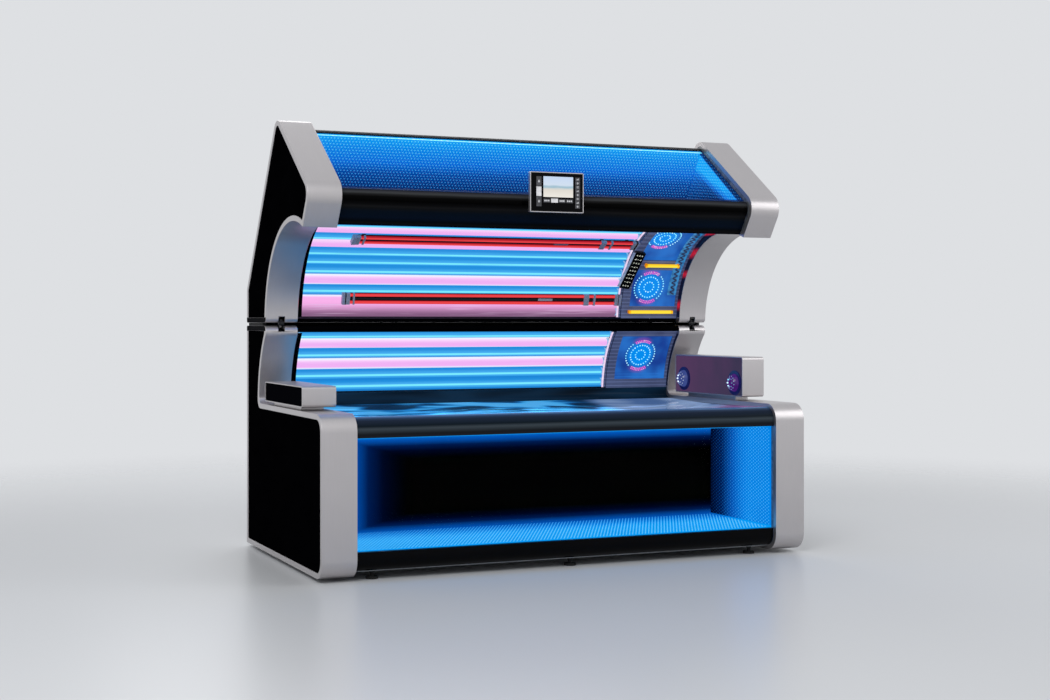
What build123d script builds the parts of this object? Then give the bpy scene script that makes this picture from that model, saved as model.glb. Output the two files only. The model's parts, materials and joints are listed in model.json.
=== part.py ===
from build123d import *
import os
from math import cos, hypot, radians, sin, sqrt

# Clamshell tanning bed, in millimetres. X runs along the bed from the foot end (-X) to the head end
# (+X), Y from the user's side (-Y) to the rear, Z up. The origin is on the floor under the middle.

# ---- driving dimensions -----------------------------------------------------------------------
LENGTH = 2380.0
DEPTH = 1312.0
HEIGHT = 2030.0
BAND_WIDTH = 156.0
BAND_WALL = 10.0
BAND_RIM = 24.0
RIM_THICKNESS = 9.0
FOOT_HEIGHT = 16.0
SEAT_Z = 713.0
BASE_TOP = 1084.5
CANOPY_BOTTOM = 1099.0
HINGE_Y, HINGE_Z = 300.0, 1096.0

RISER_CENTRE = (-53.0, 720.0)
RISER_RADIUS = 468.0
CANOPY_CENTRE = (-178.0, 1090.0)
CANOPY_RADIUS = 463.0
NOSE_CORNER = (-467.0, 1676.0)
SCREEN_SLOPE = 0.68
REAR_SLOPE = 1.404
REAR_SHOULDER_Z = 1262.0
BENCH_ROUND = 80.0
RISER_ROUND = 30.0
NOSE_ROUND = 76.0
HEEL_ROUND = 22.0

SHELL_INSET = 16.0
CANOPY_INSET = 34.0
GAP_LIP = 2.0
SHEET = 3.0
WINDOW_THICKNESS = 6.0
ACRYLIC = 4.0
FIT = 1.0

TUBE_R = 19.0
TUBE_WALL = 1.2
TUBE_GAP = 4.0
SOCKET_DEPTH = 12.0

# ---- values that follow from them ---------------------------------------------------------------
X_END = LENGTH / 2
X_BAND = X_END - BAND_WIDTH
X_MID = X_BAND - FIT
Y_EDGE = DEPTH / 2
X_BAND_MIDDLE = X_END - BAND_WIDTH / 2
SIDES = (-1, 1)

RISER_ACRYLIC_R = RISER_RADIUS + 22.0
CANOPY_ACRYLIC_R = CANOPY_RADIUS + 37.0
RISER_TUBE_R = RISER_ACRYLIC_R + ACRYLIC + TUBE_GAP + TUBE_R
CANOPY_TUBE_R = CANOPY_ACRYLIC_R + ACRYLIC + TUBE_GAP + TUBE_R
REFLECTOR_WALL = 1.5
RISER_REFLECTOR_R = RISER_TUBE_R + TUBE_R + 6.0
CANOPY_REFLECTOR_R = CANOPY_TUBE_R + TUBE_R + 6.0

# Where the long tanning tubes end and the facial section begins, along X.
CANOPY_TUBES_END = 690.0
RISER_TUBES_END = 660.0
TUBES_START = -1018.0
FACE_GAP = 3.0
CANOPY_FACE_X = CANOPY_TUBES_END + SOCKET_DEPTH + FACE_GAP
RISER_FACE_X = RISER_TUBES_END + SOCKET_DEPTH + FACE_GAP

# Angles round the arc's centre, in degrees above the horizontal at the rear.
CANOPY_ARC = (3.6, 107.0)
RISER_ARC = (4.0, 43.0)
CANOPY_TUBE_PITCH = 5.75
CANOPY_FIRST_TUBE = 7.1
CANOPY_TUBE_COUNT = 18
CANOPY_PINK = (0, 1, 3, 7, 9, 12, 15)
RISER_REFLECTOR_ARC = (4.0, 40.2)
RISER_TUBE_PITCH = 6.2
RISER_FIRST_TUBE = 7.6
RISER_TUBE_COUNT = 6
RISER_PINK = (2, 4)

BED_TUBE_Z = 633.0
BED_TUBE_PITCH = 58.0
BED_TUBE_COUNT = 16
BED_FIRST_TUBE_Y = -520.0

NICHE_BOTTOM, NICHE_TOP = 125.0, 608.0
NICHE_BACK_Y = -40.0
WINDOW_Y = -622.0
NICHE_FRONT_Y = WINDOW_Y + WINDOW_THICKNESS + FIT
RAIL_BOTTOM = NICHE_TOP + FIT
RAIL_BACK_Y = -560.0

HEAD_BOX = ((X_BAND, -350.0, 733.0), (1157.0, 331.0, 930.0))
FOOT_BOX = ((-X_END, -350.0, 728.0), (-X_BAND - FIT, 300.0, 821.0))
BOX_WALL = 5.0
BOX_CORNER = 14.0
PANEL_RECESS = 4.0
JETS = {"rear": (237.0, 806.0), "front": (-274.0, 801.0)}
JET_BALL_R = 44.0
JET_BORE_R = 22.0
JET_COLLAR_R = 56.0
JET_FLANGE_R = 61.0
JET_X = HEAD_BOX[0][0] + PANEL_RECESS + 2.0
RUNNING = 0.05

# Gas strut, as seen along X: its lower pin, its upper pin at rest and its parts along its own axis.
STRUT_FOOT = (450.5, 939.4)
STRUT_HEAD = (489.6, 1207.6)
STRUT_ANGLE = 81.72
STRUT_LENGTH = 274.2
STRUT_PIN_R = 5.0
STRUT_EYE_SLACK = 3.8
STRUT_BARREL_R = 14.0
STRUT_BARREL = (14.0, 190.0)
STRUT_SLOT_Y = (386.0, 502.0)
STRUT_SLOT_WIDTH = 40.0

HINGE_PIN_R = 6.0
HINGE_KNUCKLE_R = 12.0
HINGE_KNUCKLE_HALF = 7.0
HINGE_EAR = 5.0
HINGE_NOTCH_HALF = 15.5
BASE_NOTCH = ((284.0, 348.0), (1056.0, 1090.0))
CANOPY_NOTCH = ((278.0, 326.0), (1094.0, 1128.0))

RED_BARS = {15.4: (-817.0, 683.0), 57.5: (-830.0, 678.0)}
RED_TUBE_R = 8.0
RED_TUBE_SPACING = 36.0
RED_TUBE_AXIS_R = 473.0
YELLOW_BARS = {38.7: (787.0, 985.0), 7.6: (741.0, 1001.0)}
YELLOW_TUBE_R = 9.0

SCREEN_X = (-150.0, 120.0)
SCREEN_Z = (1605.0, 1790.0)
SCREEN_FRONT_Y = -455.0
SCREEN_THICKNESS = 20.0


# ---- outlines in the YZ plane -------------------------------------------------------------------
def nearest_fillet(sketch, y, z, radius):
    corner = min(sketch.vertices(), key=lambda v: hypot(v.X - y, v.Y - z))
    return fillet([corner], radius)


def rect(y0, y1, z0, z1):
    return Pos((y0 + y1) / 2, (z0 + z1) / 2) * Rectangle(y1 - y0, z1 - z0)


def polygon(*points):
    return make_face(Polyline(*points, close=True))


def base_outline(inset, lip):
    """Closed outline of the base: bench in front, riser behind with the tunnel's arc cut out."""
    front, rear = -Y_EDGE + inset, Y_EDGE - inset
    low = FOOT_HEIGHT + inset
    top = BASE_TOP - lip
    seat = SEAT_Z - inset
    radius = RISER_RADIUS + inset
    cy, cz = RISER_CENTRE
    block = rect(front, rear, low, top)
    tunnel = rect(front - 50, cy, seat, top + 50)
    tunnel += Pos(cy, cz) * Circle(radius) & rect(cy - 1, rear, seat, top + 50)
    outline = block - tunnel
    foot_y = cy + sqrt(radius ** 2 - (seat - cz) ** 2)
    nose_y = cy + sqrt(radius ** 2 - (top - cz) ** 2)
    outline = nearest_fillet(outline, nose_y, top, max(RISER_ROUND - inset, 9.0))
    outline = nearest_fillet(outline, foot_y, seat, 35.0 + inset / 2)
    outline = nearest_fillet(outline, front, seat, BENCH_ROUND - inset)
    outline = nearest_fillet(outline, front, low, BENCH_ROUND - inset)
    outline = nearest_fillet(outline, rear, top, 10.0 - inset / 4)
    return nearest_fillet(outline, rear, low, 10.0 - inset / 4)


def screen_line(y, inset):
    """Height of the canopy's sloping front at y, set back by inset."""
    return NOSE_CORNER[1] + SCREEN_SLOPE * (y - NOSE_CORNER[0]) - inset * hypot(1, SCREEN_SLOPE)


def rear_line(y, inset):
    """Height of the canopy's sloping rear at y, set back by inset."""
    return REAR_SHOULDER_Z + REAR_SLOPE * (Y_EDGE - y) - inset * hypot(1, REAR_SLOPE)


def nose_line(z, inset):
    """Y of the canopy's overhanging nose at height z, set back by inset."""
    return NOSE_CORNER[0] - SCREEN_SLOPE * (z - NOSE_CORNER[1]) + inset * hypot(1, SCREEN_SLOPE)


def canopy_corners(inset):
    """Corners of the canopy's outline before they are rounded: shoulder, apex, nose and cusp."""
    rear = Y_EDGE - inset
    shoulder = (rear, rear_line(rear, inset))
    apex_y = (rear_line(0, inset) - screen_line(0, inset)) / (REAR_SLOPE + SCREEN_SLOPE)
    apex = (apex_y, screen_line(apex_y, inset))
    nose_z = (screen_line(nose_line(0, inset), inset)) / (1 + SCREEN_SLOPE ** 2)
    nose = (nose_line(nose_z, inset), nose_z)
    cy, cz = CANOPY_CENTRE
    along = (SCREEN_SLOPE / hypot(1, SCREEN_SLOPE), -1 / hypot(1, SCREEN_SLOPE))
    to_centre = (cy - nose[0], cz - nose[1])
    middle = to_centre[0] * along[0] + to_centre[1] * along[1]
    offset_sq = hypot(*to_centre) ** 2 - middle ** 2
    reach = middle - sqrt((CANOPY_RADIUS + inset) ** 2 - offset_sq)
    cusp = (nose[0] + reach * along[0], nose[1] + reach * along[1])
    return shoulder, apex, nose, cusp


# A round of radius r on the apex takes ROUND_SHARE * r off its height.
SLOPE_STEP = (hypot(1, REAR_SLOPE) - hypot(1, SCREEN_SLOPE)) / (SCREEN_SLOPE + REAR_SLOPE)
ROUND_SHARE = hypot(1, SCREEN_SLOPE) + SCREEN_SLOPE * SLOPE_STEP - 1
APEX_ROUND = (canopy_corners(0.0)[1][1] - HEIGHT) / ROUND_SHARE


def canopy_outline(inset, lip):
    """Closed outline of the canopy: ridge on top, nose in front, the tunnel's arc underneath."""
    shoulder, apex, nose, cusp = canopy_corners(inset)
    bottom = CANOPY_BOTTOM + lip
    cy, cz = CANOPY_CENTRE
    radius = CANOPY_RADIUS + inset
    block = polygon((Y_EDGE - inset, bottom), shoulder, apex, nose, cusp, (cusp[0], bottom))
    outline = block - Pos(cy, cz) * Circle(radius)
    heel_y = cy + sqrt(radius ** 2 - (bottom - cz) ** 2)
    outline = nearest_fillet(outline, *nose, NOSE_ROUND - inset)
    outline = nearest_fillet(outline, *apex, APEX_ROUND - inset)
    outline = nearest_fillet(outline, *shoulder, 14.0 - inset / 4)
    outline = nearest_fillet(outline, heel_y, bottom, max(HEEL_ROUND - inset, 6.0))
    outline = nearest_fillet(outline, Y_EDGE - inset, bottom, 10.0 - inset / 5)
    return nearest_fillet(outline, *cusp, 4.0)


def arc_strip(centre, radius, thickness, angles):
    """A strip of an arc, from radius outwards, between two angles."""
    far = radius * 3
    a, b = (radians(angle) for angle in angles)
    middle = (a + b) / 2
    cy, cz = centre
    rays = [(cy + far * cos(t), cz + far * sin(t)) for t in (a, middle, b)]
    ring = Pos(cy, cz) * (Circle(radius + thickness) - Circle(radius))
    return ring & polygon(centre, *rays)


# ---- solids ---------------------------------------------------------------------------------------
def slab(sketch, x0, x1):
    """Extrudes an outline of the YZ plane from x0 to x1."""
    return extrude(Plane.YZ.offset(x0) * sketch, amount=x1 - x0)


def block(x0, x1, y0, y1, z0, z1):
    return Pos((x0 + x1) / 2, (y0 + y1) / 2, (z0 + z1) / 2) * Box(x1 - x0, y1 - y0, z1 - z0)


def rod_x(x0, x1, y, z, radius):
    """A round bar along X."""
    return Pos((x0 + x1) / 2, y, z) * Rot(Y=90) * Cylinder(radius, x1 - x0)


def pipe_x(x0, x1, y, z, radius, wall):
    return rod_x(x0, x1, y, z, radius) - rod_x(x0 - 1, x1 + 1, y, z, radius - wall)


def on_arc(centre, angle):
    """Turns a piece made with its radius along Y and its width along Z to an angle on an arc."""
    return Pos(0, *centre) * Rot(X=angle)


def polar(centre, radius, angle):
    return centre[0] + radius * cos(radians(angle)), centre[1] + radius * sin(radians(angle))


def mirrored_spans(x0, x1):
    """The same span of X at the right and at the left end."""
    return ((-x1, -x0), (x0, x1))


def strut_slots(z):
    return [block(side * X_BAND_MIDDLE - STRUT_SLOT_WIDTH / 2, side * X_BAND_MIDDLE + STRUT_SLOT_WIDTH / 2,
                  *STRUT_SLOT_Y, z - 2 * BAND_WALL, z + 2 * BAND_WALL) for side in SIDES]


def hinge_notches(notch):
    (y0, y1), (z0, z1) = notch
    return [block(side * X_BAND_MIDDLE - HINGE_NOTCH_HALF, side * X_BAND_MIDDLE + HINGE_NOTCH_HALF,
                  y0, y1, z0, z1) for side in SIDES]


def end_bands(outline, gap_z, notch):
    """The two broad metal bands that wrap a housing's ends, with a wide rim along both their edges.

    They are slotted where the gas struts pass, and notched at the gap for the hinges.
    """
    wall = outline(0, 0) - outline(BAND_WALL, BAND_WALL)
    rim = outline(0, 0) - outline(BAND_RIM, BAND_RIM)
    bands = []
    for x0, x1 in mirrored_spans(X_BAND, X_END):
        band = slab(wall, x0, x1) + slab(rim, x0, x0 + RIM_THICKNESS) + slab(rim, x1 - RIM_THICKNESS, x1)
        bands.append(band - strut_slots(gap_z) - hinge_notches(notch))
    return bands


def side_panels(outline):
    """Gloss panels that close the outer ends, set back a little inside the bands' rims."""
    face = outline(BAND_RIM + 0.5, BAND_RIM + 0.5)
    recess = 3.0
    thickness = 6.0
    return [slab(face, x0, x1) for x0, x1 in mirrored_spans(X_END - recess - thickness, X_END - recess)]


def inner_walls(outline):
    """Steel walls inside the bands' inner rims, which carry the middle of the machine."""
    face = outline(BAND_RIM + 0.5, BAND_RIM + 0.5)
    return [slab(face, x0, x1) for x0, x1 in mirrored_spans(X_BAND + FIT, X_BAND + FIT + 6.0)]


# ---- base -------------------------------------------------------------------------------------------
FOOT_ROWS = (-560.0, 580.0)
CHANNEL_Z = 36.0
PAN_Z = CHANNEL_Z + 8.0
GEAR_Z = 92.0
PLINTH_BACK_Y = -590.0


def chassis():
    """Floor pan with two long channels and cross members."""
    pan = block(-X_MID, X_MID, PLINTH_BACK_Y + 2, 628, PAN_Z, PAN_Z + SHEET)
    for y in FOOT_ROWS:
        pan += block(-X_MID, X_MID, y - 25, y + 25, CHANNEL_Z, PAN_Z)
    for x in (-700.0, 0.0, 700.0):
        pan += block(x - 20, x + 20, 0, 628, PAN_Z + SHEET, GEAR_Z)
    return pan


def feet():
    """Levelling feet: a pad, a stem and a lock nut each."""
    made = []
    for x in (-940.0, 0.0, 940.0):
        for y in FOOT_ROWS:
            foot = Pos(x, y, 5) * Cylinder(28, 10)
            foot += Pos(x, y, CHANNEL_Z / 2) * Cylinder(8, CHANNEL_Z)
            foot += extrude(Pos(x, y, CHANNEL_Z - 9) * RegularPolygon(13, 6), 7)
            made.append(foot)
    return made


def plinth():
    """Kick panel under the window, which curves back towards the floor as the bands do."""
    inset = SHELL_INSET + 6
    strip = base_outline(inset, inset) - base_outline(inset + SHEET, inset + SHEET)
    return slab(strip & rect(-700, PLINTH_BACK_Y, 0, NICHE_BOTTOM - FIT), -X_MID, X_MID)


def light_niche():
    """Open box behind the front window whose walls carry the lights."""
    outside = block(-X_MID, X_MID, NICHE_FRONT_Y, NICHE_BACK_Y, NICHE_BOTTOM, NICHE_TOP)
    inside = block(-X_MID + SHEET, X_MID - SHEET, NICHE_FRONT_Y - 5, NICHE_BACK_Y - SHEET,
                   NICHE_BOTTOM + SHEET, NICHE_TOP - SHEET)
    return outside - inside


def front_window():
    return block(-X_MID, X_MID, WINDOW_Y, WINDOW_Y + WINDOW_THICKNESS, NICHE_BOTTOM, NICHE_TOP)


def base_shell_strip(wall):
    return base_outline(SHELL_INSET, GAP_LIP) - base_outline(SHELL_INSET + wall, GAP_LIP + wall)


def bed_rails():
    """Rounded rail along the front edge of the bed, and the cove between bed and riser."""
    wall = 5.0
    strip = base_shell_strip(wall)
    front = slab(strip & rect(-700, RAIL_BACK_Y, RAIL_BOTTOM, 750), -X_MID, X_MID)
    lip_y = -Y_EDGE + SHELL_INSET + wall
    front += block(-X_MID, X_MID, lip_y, WINDOW_Y + WINDOW_THICKNESS, RAIL_BOTTOM, RAIL_BOTTOM + wall)
    foot = polar(RISER_CENTRE, RISER_RADIUS, RISER_ARC[0])
    cove = slab(strip & rect(BED_BACK_Y + FIT, 520, 630, foot[1]), -X_MID, X_MID)
    return front, cove


BED_BACK_Y = 384.0
BED_EDGE_Z = SEAT_Z - SHELL_INSET
BED_SHEET = 5.0
# How far the lying surface dips below its edges at stations along X, from foot to head.
BED_DIPS = ((-X_MID, 8.0), (-620.0, 22.0), (-120.0, 12.0), (420.0, 26.0), (X_MID, 10.0))


def bed_acrylic():
    """Clear lying surface, hollowed across its width, and waved along its length."""
    y0, y1 = RAIL_BACK_Y + FIT, BED_BACK_Y
    sections = []
    for x, dip in BED_DIPS:
        top = ThreePointArc((x, y0, BED_EDGE_Z), (x, (y0 + y1) / 2, BED_EDGE_Z - dip), (x, y1, BED_EDGE_Z))
        under = BED_EDGE_Z - BED_SHEET
        low = ThreePointArc((x, y1, under), (x, (y0 + y1) / 2, under - dip), (x, y0, under))
        sides = [Line(top @ 1, low @ 0), Line(low @ 1, top @ 0)]
        sections.append(make_face([top, sides[0], low, sides[1]]))
    return loft(sections)


def bed_tube_places():
    return [BED_FIRST_TUBE_Y + i * BED_TUBE_PITCH for i in range(BED_TUBE_COUNT)]


def bed_tubes():
    return [pipe_x(TUBES_START, -TUBES_START, y, BED_TUBE_Z, TUBE_R, TUBE_WALL) for y in bed_tube_places()]


def bed_reflector():
    """Bright tray under the bed's tubes, folded up along the front and the back."""
    z = NICHE_TOP + SHEET
    y0, y1 = BED_FIRST_TUBE_Y - 32, BED_BACK_Y
    tray = block(-X_MID, X_MID, y0, y1, z, z + REFLECTOR_WALL)
    for y in (y0, y1 - REFLECTOR_WALL):
        tray += block(-X_MID, X_MID, y, y + REFLECTOR_WALL, z, z + 40)
    return tray


def socket(x0, x1, centre_y, centre_z, angle=0.0):
    """Lamp holder at a tube's end, with its foot towards the reflector."""
    body = block(x0, x1, -TUBE_R + 3, TUBE_R + 1, -TUBE_R + 3, TUBE_R - 3)
    return Pos(0, centre_y, centre_z) * Rot(X=angle) * body


def arc_sockets(centre, radius, angles, end):
    made = []
    for angle in angles:
        y, z = polar(centre, radius, angle)
        made.append(socket(TUBES_START - SOCKET_DEPTH, TUBES_START, y, z, angle))
        made.append(socket(end, end + SOCKET_DEPTH, y, z, angle))
    return made


def base_sockets():
    made = arc_sockets(RISER_CENTRE, RISER_TUBE_R, riser_angles(range(RISER_TUBE_COUNT)), RISER_TUBES_END)
    for y in bed_tube_places():
        for x0, x1 in mirrored_spans(-TUBES_START, -TUBES_START + SOCKET_DEPTH):
            made.append(socket(x0, x1, y, BED_TUBE_Z, -90))
    return made


def riser_angles(numbers):
    return [RISER_FIRST_TUBE + RISER_TUBE_PITCH * i for i in numbers]


def canopy_angles(numbers):
    return [CANOPY_FIRST_TUBE + CANOPY_TUBE_PITCH * i for i in numbers]


def arc_tubes(centre, radius, angles, end):
    made = []
    for angle in angles:
        y, z = polar(centre, radius, angle)
        made.append(pipe_x(TUBES_START, end, y, z, TUBE_R, TUBE_WALL))
    return made


def riser_tubes(pink):
    numbers = [i for i in range(RISER_TUBE_COUNT) if (i in RISER_PINK) == pink]
    return arc_tubes(RISER_CENTRE, RISER_TUBE_R, riser_angles(numbers), RISER_TUBES_END)


def canopy_tubes(pink):
    numbers = [i for i in range(CANOPY_TUBE_COUNT) if (i in CANOPY_PINK) == pink]
    return arc_tubes(CANOPY_CENTRE, CANOPY_TUBE_R, canopy_angles(numbers), CANOPY_TUBES_END)


def face_panel(centre, radius, angles, x0, windows):
    """Dark curved panel of the facial section, with a window over each light board."""
    panel = slab(arc_strip(centre, radius - ACRYLIC, ACRYLIC, angles), x0, X_MID)
    for low, high in windows:
        cut = arc_strip(centre, radius - 3 * ACRYLIC, 5 * ACRYLIC, (low, high))
        panel -= slab(cut, x0 + FACE_FRAME, X_MID - 14)
    return panel


FACE_FRAME = 46.0
BOARD_SETBACK = 12.0
RING_R = 92.0
RISER_WINDOWS = ((9.5, 39.0),)
CANOPY_WINDOWS = ((11.0, 34.5), (41.5, 80.0))
RISER_RING = (858.0, 25.0)
CANOPY_RINGS = ((852.0, 22.8), (830.0, 61.0))


def light_board(centre, radius, x0, window, ring):
    """Curved board behind a window, with the raised round lamp it carries."""
    low, high = window
    board = slab(arc_strip(centre, radius + BOARD_SETBACK, SHEET, (low - 1, high + 1)), x0 + 20, X_MID - 8)
    ring_x, ring_angle = ring
    disc = Pos(ring_x, radius + BOARD_SETBACK, 0) * Rot(X=90) * Cylinder(RING_R, 24)
    raised = slab(arc_strip(centre, radius + 3, BOARD_SETBACK - 3, window), x0, X_MID)
    return board + (on_arc(centre, ring_angle) * disc & raised)


REAR_SEAM_Z = 1056.0
SEAL_Y = (590.0, 600.0)
SEAL_CLEARANCE = 1.5


def base_rear_cover():
    """Cap over the riser's nose and top, the sheet down the back with its exhaust slots, and the seals."""
    strip = base_shell_strip(SHEET)
    cy, cz = RISER_CENTRE
    above = polygon(RISER_CENTRE, polar(RISER_CENTRE, 700, RISER_ARC[1] + 0.5), (cy, cz + 700))
    cap = slab(strip & (above + rect(-100, 700, REAR_SEAM_Z, 1130)), -X_MID, X_MID)
    back = slab(strip & rect(600, 700, 40, REAR_SEAM_Z - FIT), -X_MID, X_MID)
    for x_group in (-620.0, 620.0):
        for row in range(9):
            z = 450 + row * 24
            back -= block(x_group - 180, x_group + 180, 620, 660, z - 4, z + 4)
    gland_y = Y_EDGE - SHELL_INSET
    back -= Pos(INLET_X, gland_y, INLET_Z) * Rot(X=90) * Cylinder(GLAND_R + 0.5, 40)
    return [cap, back] + gap_seals()


def gap_seals():
    """Strips that close the gap under the canopy: one along the rear and one over each end band."""
    top = CANOPY_BOTTOM - SEAL_CLEARANCE
    seals = [block(-X_MID, X_MID, *SEAL_Y, BASE_TOP - GAP_LIP, top + GAP_LIP)]
    for x0, x1 in mirrored_spans(X_BAND, X_END - RIM_THICKNESS):
        seals.append(block(x0, x1, *SEAL_Y, BASE_TOP, top))
    for x0, x1 in mirrored_spans(X_END - RIM_THICKNESS - 10, X_END - RIM_THICKNESS):
        seals.append(block(x0, x1, HINGE_Y + 46, SEAL_Y[0] - FIT, BASE_TOP, top))
    return seals


INLET_X, INLET_Z = -860.0, 190.0
GLAND_R = 15.0
GLAND_BORE_R = 8.0
GLAND_LENGTH = 40.0


def mains_inlet():
    """Terminal box inside the rear cover with its cable gland through the sheet."""
    back = Y_EDGE - SHELL_INSET - SHEET
    box = block(INLET_X - 70, INLET_X + 70, back - 60, back, INLET_Z - 60, INLET_Z + 60)
    box -= block(INLET_X - 66, INLET_X + 66, back - 56, back - 4, INLET_Z - 56, INLET_Z + 56)
    middle = Y_EDGE - 2 - GLAND_LENGTH / 2
    gland = Pos(INLET_X, middle, INLET_Z) * Rot(X=90) * Cylinder(GLAND_R, GLAND_LENGTH)
    nut = Pos(INLET_X, Y_EDGE - SHELL_INSET + 5, INLET_Z) * Rot(X=90)
    gland += nut * extrude(RegularPolygon(GLAND_R + 6, 6), 5, both=True)
    bore = Pos(INLET_X, middle, INLET_Z) * Rot(X=90) * Cylinder(GLAND_BORE_R, GLAND_LENGTH + 2)
    return box + gland - bore


def ballasts():
    """Control gear for the tubes: a row of boxes on the cross members."""
    made = []
    for column in range(8):
        x = -760 + column * 130 + (column > 3) * 480
        for y in (40.0, 130.0, 220.0):
            made.append(block(x - 50, x + 50, y, y + 70, GEAR_Z, GEAR_Z + 58))
    return made


BASE_BLOWER = (0.0, 420.0, 290.0)
CANOPY_BLOWER = (0.0, 470.0, 1270.0)


def blower_housing(centre, radius, width):
    """Twin blower: two drums with open inlets and a motor between them on the same shaft."""
    x, y, z = centre
    motor_half = 60.0
    made = []
    for side in SIDES:
        near, far = sorted((x + side * motor_half, x + side * (motor_half + width)))
        drum = rod_x(near, far, y, z, radius)
        drum += block(near, far, y, y + radius + 15, z - radius, z - radius + 70)
        drum -= rod_x(near + 3, far - 3, y, z, radius - 3)
        drum -= block(near + 3, far - 3, y, y + radius + 30, z - radius + 3, z - radius + 67)
        drum -= rod_x(near - 5, far + 5, y, z, radius * 0.55)
        made.append(drum)
    motor = rod_x(x - motor_half, x + motor_half, y, z, radius * 0.5)
    motor -= rod_x(x - motor_half - 1, x + motor_half + 1, y, z, BLOWER_SHAFT_R + RUNNING)
    spokes = []
    for side in SIDES:
        near, far = sorted((x + side * (motor_half - 4), x + side * motor_half))
        spokes.append(block(near, far, y - 12, y + 12, z - radius, z + radius) -
                      rod_x(near - 1, far + 1, y, z, radius * 0.5 - 1))
    for spoke in spokes:
        motor += spoke
    return made + [motor]


BLOWER_SHAFT_R = 6.0


def blower_rotor(centre, radius, width):
    """Shaft with a bladed wheel in each drum."""
    x, y, z = centre
    motor_half = 60.0
    rotor = rod_x(x - motor_half - width + 6, x + motor_half + width - 6, y, z, BLOWER_SHAFT_R)
    for side in SIDES:
        hub = x + side * (motor_half + width / 2)
        rotor += rod_x(hub - 4, hub + 4, y, z, radius * 0.78)
        for blade in range(12):
            at = Pos(hub, y, z) * Rot(X=blade * 30) * Pos(0, radius * 0.7, 0) * Rot(X=35)
            rotor += at * Box(width * 0.7, radius * 0.16, 3)
    return rotor


def rounded_tube(corners, wall, radius):
    """Rectangular tube along X with rounded edges."""
    (x0, y0, z0), (x1, y1, z1) = corners
    middle = Pos((y0 + y1) / 2, (z0 + z1) / 2)
    outside = middle * RectangleRounded(y1 - y0, z1 - z0, radius)
    inside = middle * RectangleRounded(y1 - y0 - 2 * wall, z1 - z0 - 2 * wall, radius - wall)
    return slab(outside - inside, x0, x1)


def end_box(corners, pedestal):
    """Brushed wrap of an end box, standing on a low pedestal on the bench."""
    x0, x1, y0, y1 = pedestal
    return rounded_tube(corners, BOX_WALL, BOX_CORNER) + block(x0, x1, y0, y1, SEAT_Z, corners[0][2])


def head_box():
    return end_box(HEAD_BOX, (1062.0, 1132.0, -240.0, 240.0))


def foot_box():
    return end_box(FOOT_BOX, (-1165.0, -1060.0, -240.0, 220.0))


def box_panel(corners, x0, x1):
    (_, y0, z0), (_, y1, z1) = corners
    gap = BOX_WALL + 0.3
    face = RectangleRounded(y1 - y0 - 2 * gap, z1 - z0 - 2 * gap, BOX_CORNER - gap)
    return slab(Pos((y0 + y1) / 2, (z0 + z1) / 2) * face, x0, x1)


def box_panels():
    """Gloss panels inside the end boxes' open ends; the head box's inner one holds the air jets."""
    inner = box_panel(HEAD_BOX, HEAD_BOX[0][0] + PANEL_RECESS, HEAD_BOX[0][0] + PANEL_RECESS + 4)
    for y, z in JETS.values():
        inner -= rod_x(X_BAND - 5, X_BAND + 20, y, z, JET_COLLAR_R + RUNNING)
    outer = box_panel(HEAD_BOX, HEAD_BOX[1][0] - PANEL_RECESS - 4, HEAD_BOX[1][0] - PANEL_RECESS)
    foot_outer = box_panel(FOOT_BOX, -X_END + PANEL_RECESS, -X_END + PANEL_RECESS + 4)
    foot_inner = box_panel(FOOT_BOX, FOOT_BOX[1][0] - PANEL_RECESS - 4, FOOT_BOX[1][0] - PANEL_RECESS)
    return inner, outer, foot_outer, foot_inner


def jet_ring(y, z):
    """Collar that turns in the panel and carries the ball on two trunnions."""
    face_x = HEAD_BOX[0][0] + PANEL_RECESS
    ring = rod_x(face_x, face_x + 14, y, z, JET_COLLAR_R)
    ring += rod_x(face_x - 6, face_x, y, z, JET_FLANGE_R)
    ring -= rod_x(face_x - 10, face_x + 20, y, z, JET_BALL_R + 0.5)
    bore = Pos(JET_X, y, z) * Rot(X=90) * Cylinder(JET_PIN_R + RUNNING, 2 * JET_COLLAR_R - 4)
    return ring - bore


JET_PIN_R = 2.5


def jet_ball(y, z):
    """Ball nozzle with its trunnion pins along Y and its air bore towards the user."""
    ball = Pos(JET_X, y, z) * Sphere(JET_BALL_R)
    ball -= block(JET_X + 26, JET_X + 60, y - 60, y + 60, z - 60, z + 60)
    ball += Pos(JET_X, y, z) * Rot(X=90) * Cylinder(JET_PIN_R, 2 * JET_BALL_R + 16)
    ball -= rod_x(JET_X - 60, JET_X - 12, y, z, JET_BORE_R)
    return ball - rod_x(JET_X - 14, JET_X + 40, y, z, 12)


# ---- hinges and struts ------------------------------------------------------------------------------
def hinge_leaf(edge_z, inner_z):
    """Outline of a hinge leaf: its round eye, and the arm through the notch to the band's inner face."""
    eye = Pos(HINGE_Y, HINGE_Z) * Circle(HINGE_KNUCKLE_R)
    low, high = sorted((edge_z, inner_z))
    arm = rect(HINGE_Y - 2, HINGE_Y + 20, *sorted((HINGE_Z, (low + high) / 2)))
    return eye + arm + rect(HINGE_Y - 2, HINGE_Y + 60, low, high)


def base_brackets():
    """On the base at each end: a pair of hinge ears, and the stud for the gas strut."""
    made = []
    under = BASE_TOP - BAND_WALL
    ear = hinge_leaf(under - 6, under)
    for side in SIDES:
        x = side * X_BAND_MIDDLE
        for ear_side in SIDES:
            near, far = sorted((x + ear_side * (HINGE_KNUCKLE_HALF + 1),
                                x + ear_side * (HINGE_KNUCKLE_HALF + 1 + HINGE_EAR)))
            piece = slab(ear, near, far)
            made.append(piece - rod_x(near - 1, far + 1, HINGE_Y, HINGE_Z, HINGE_PIN_R + RUNNING))
        made.append(strut_stud(side, STRUT_FOOT))
    return made


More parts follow.
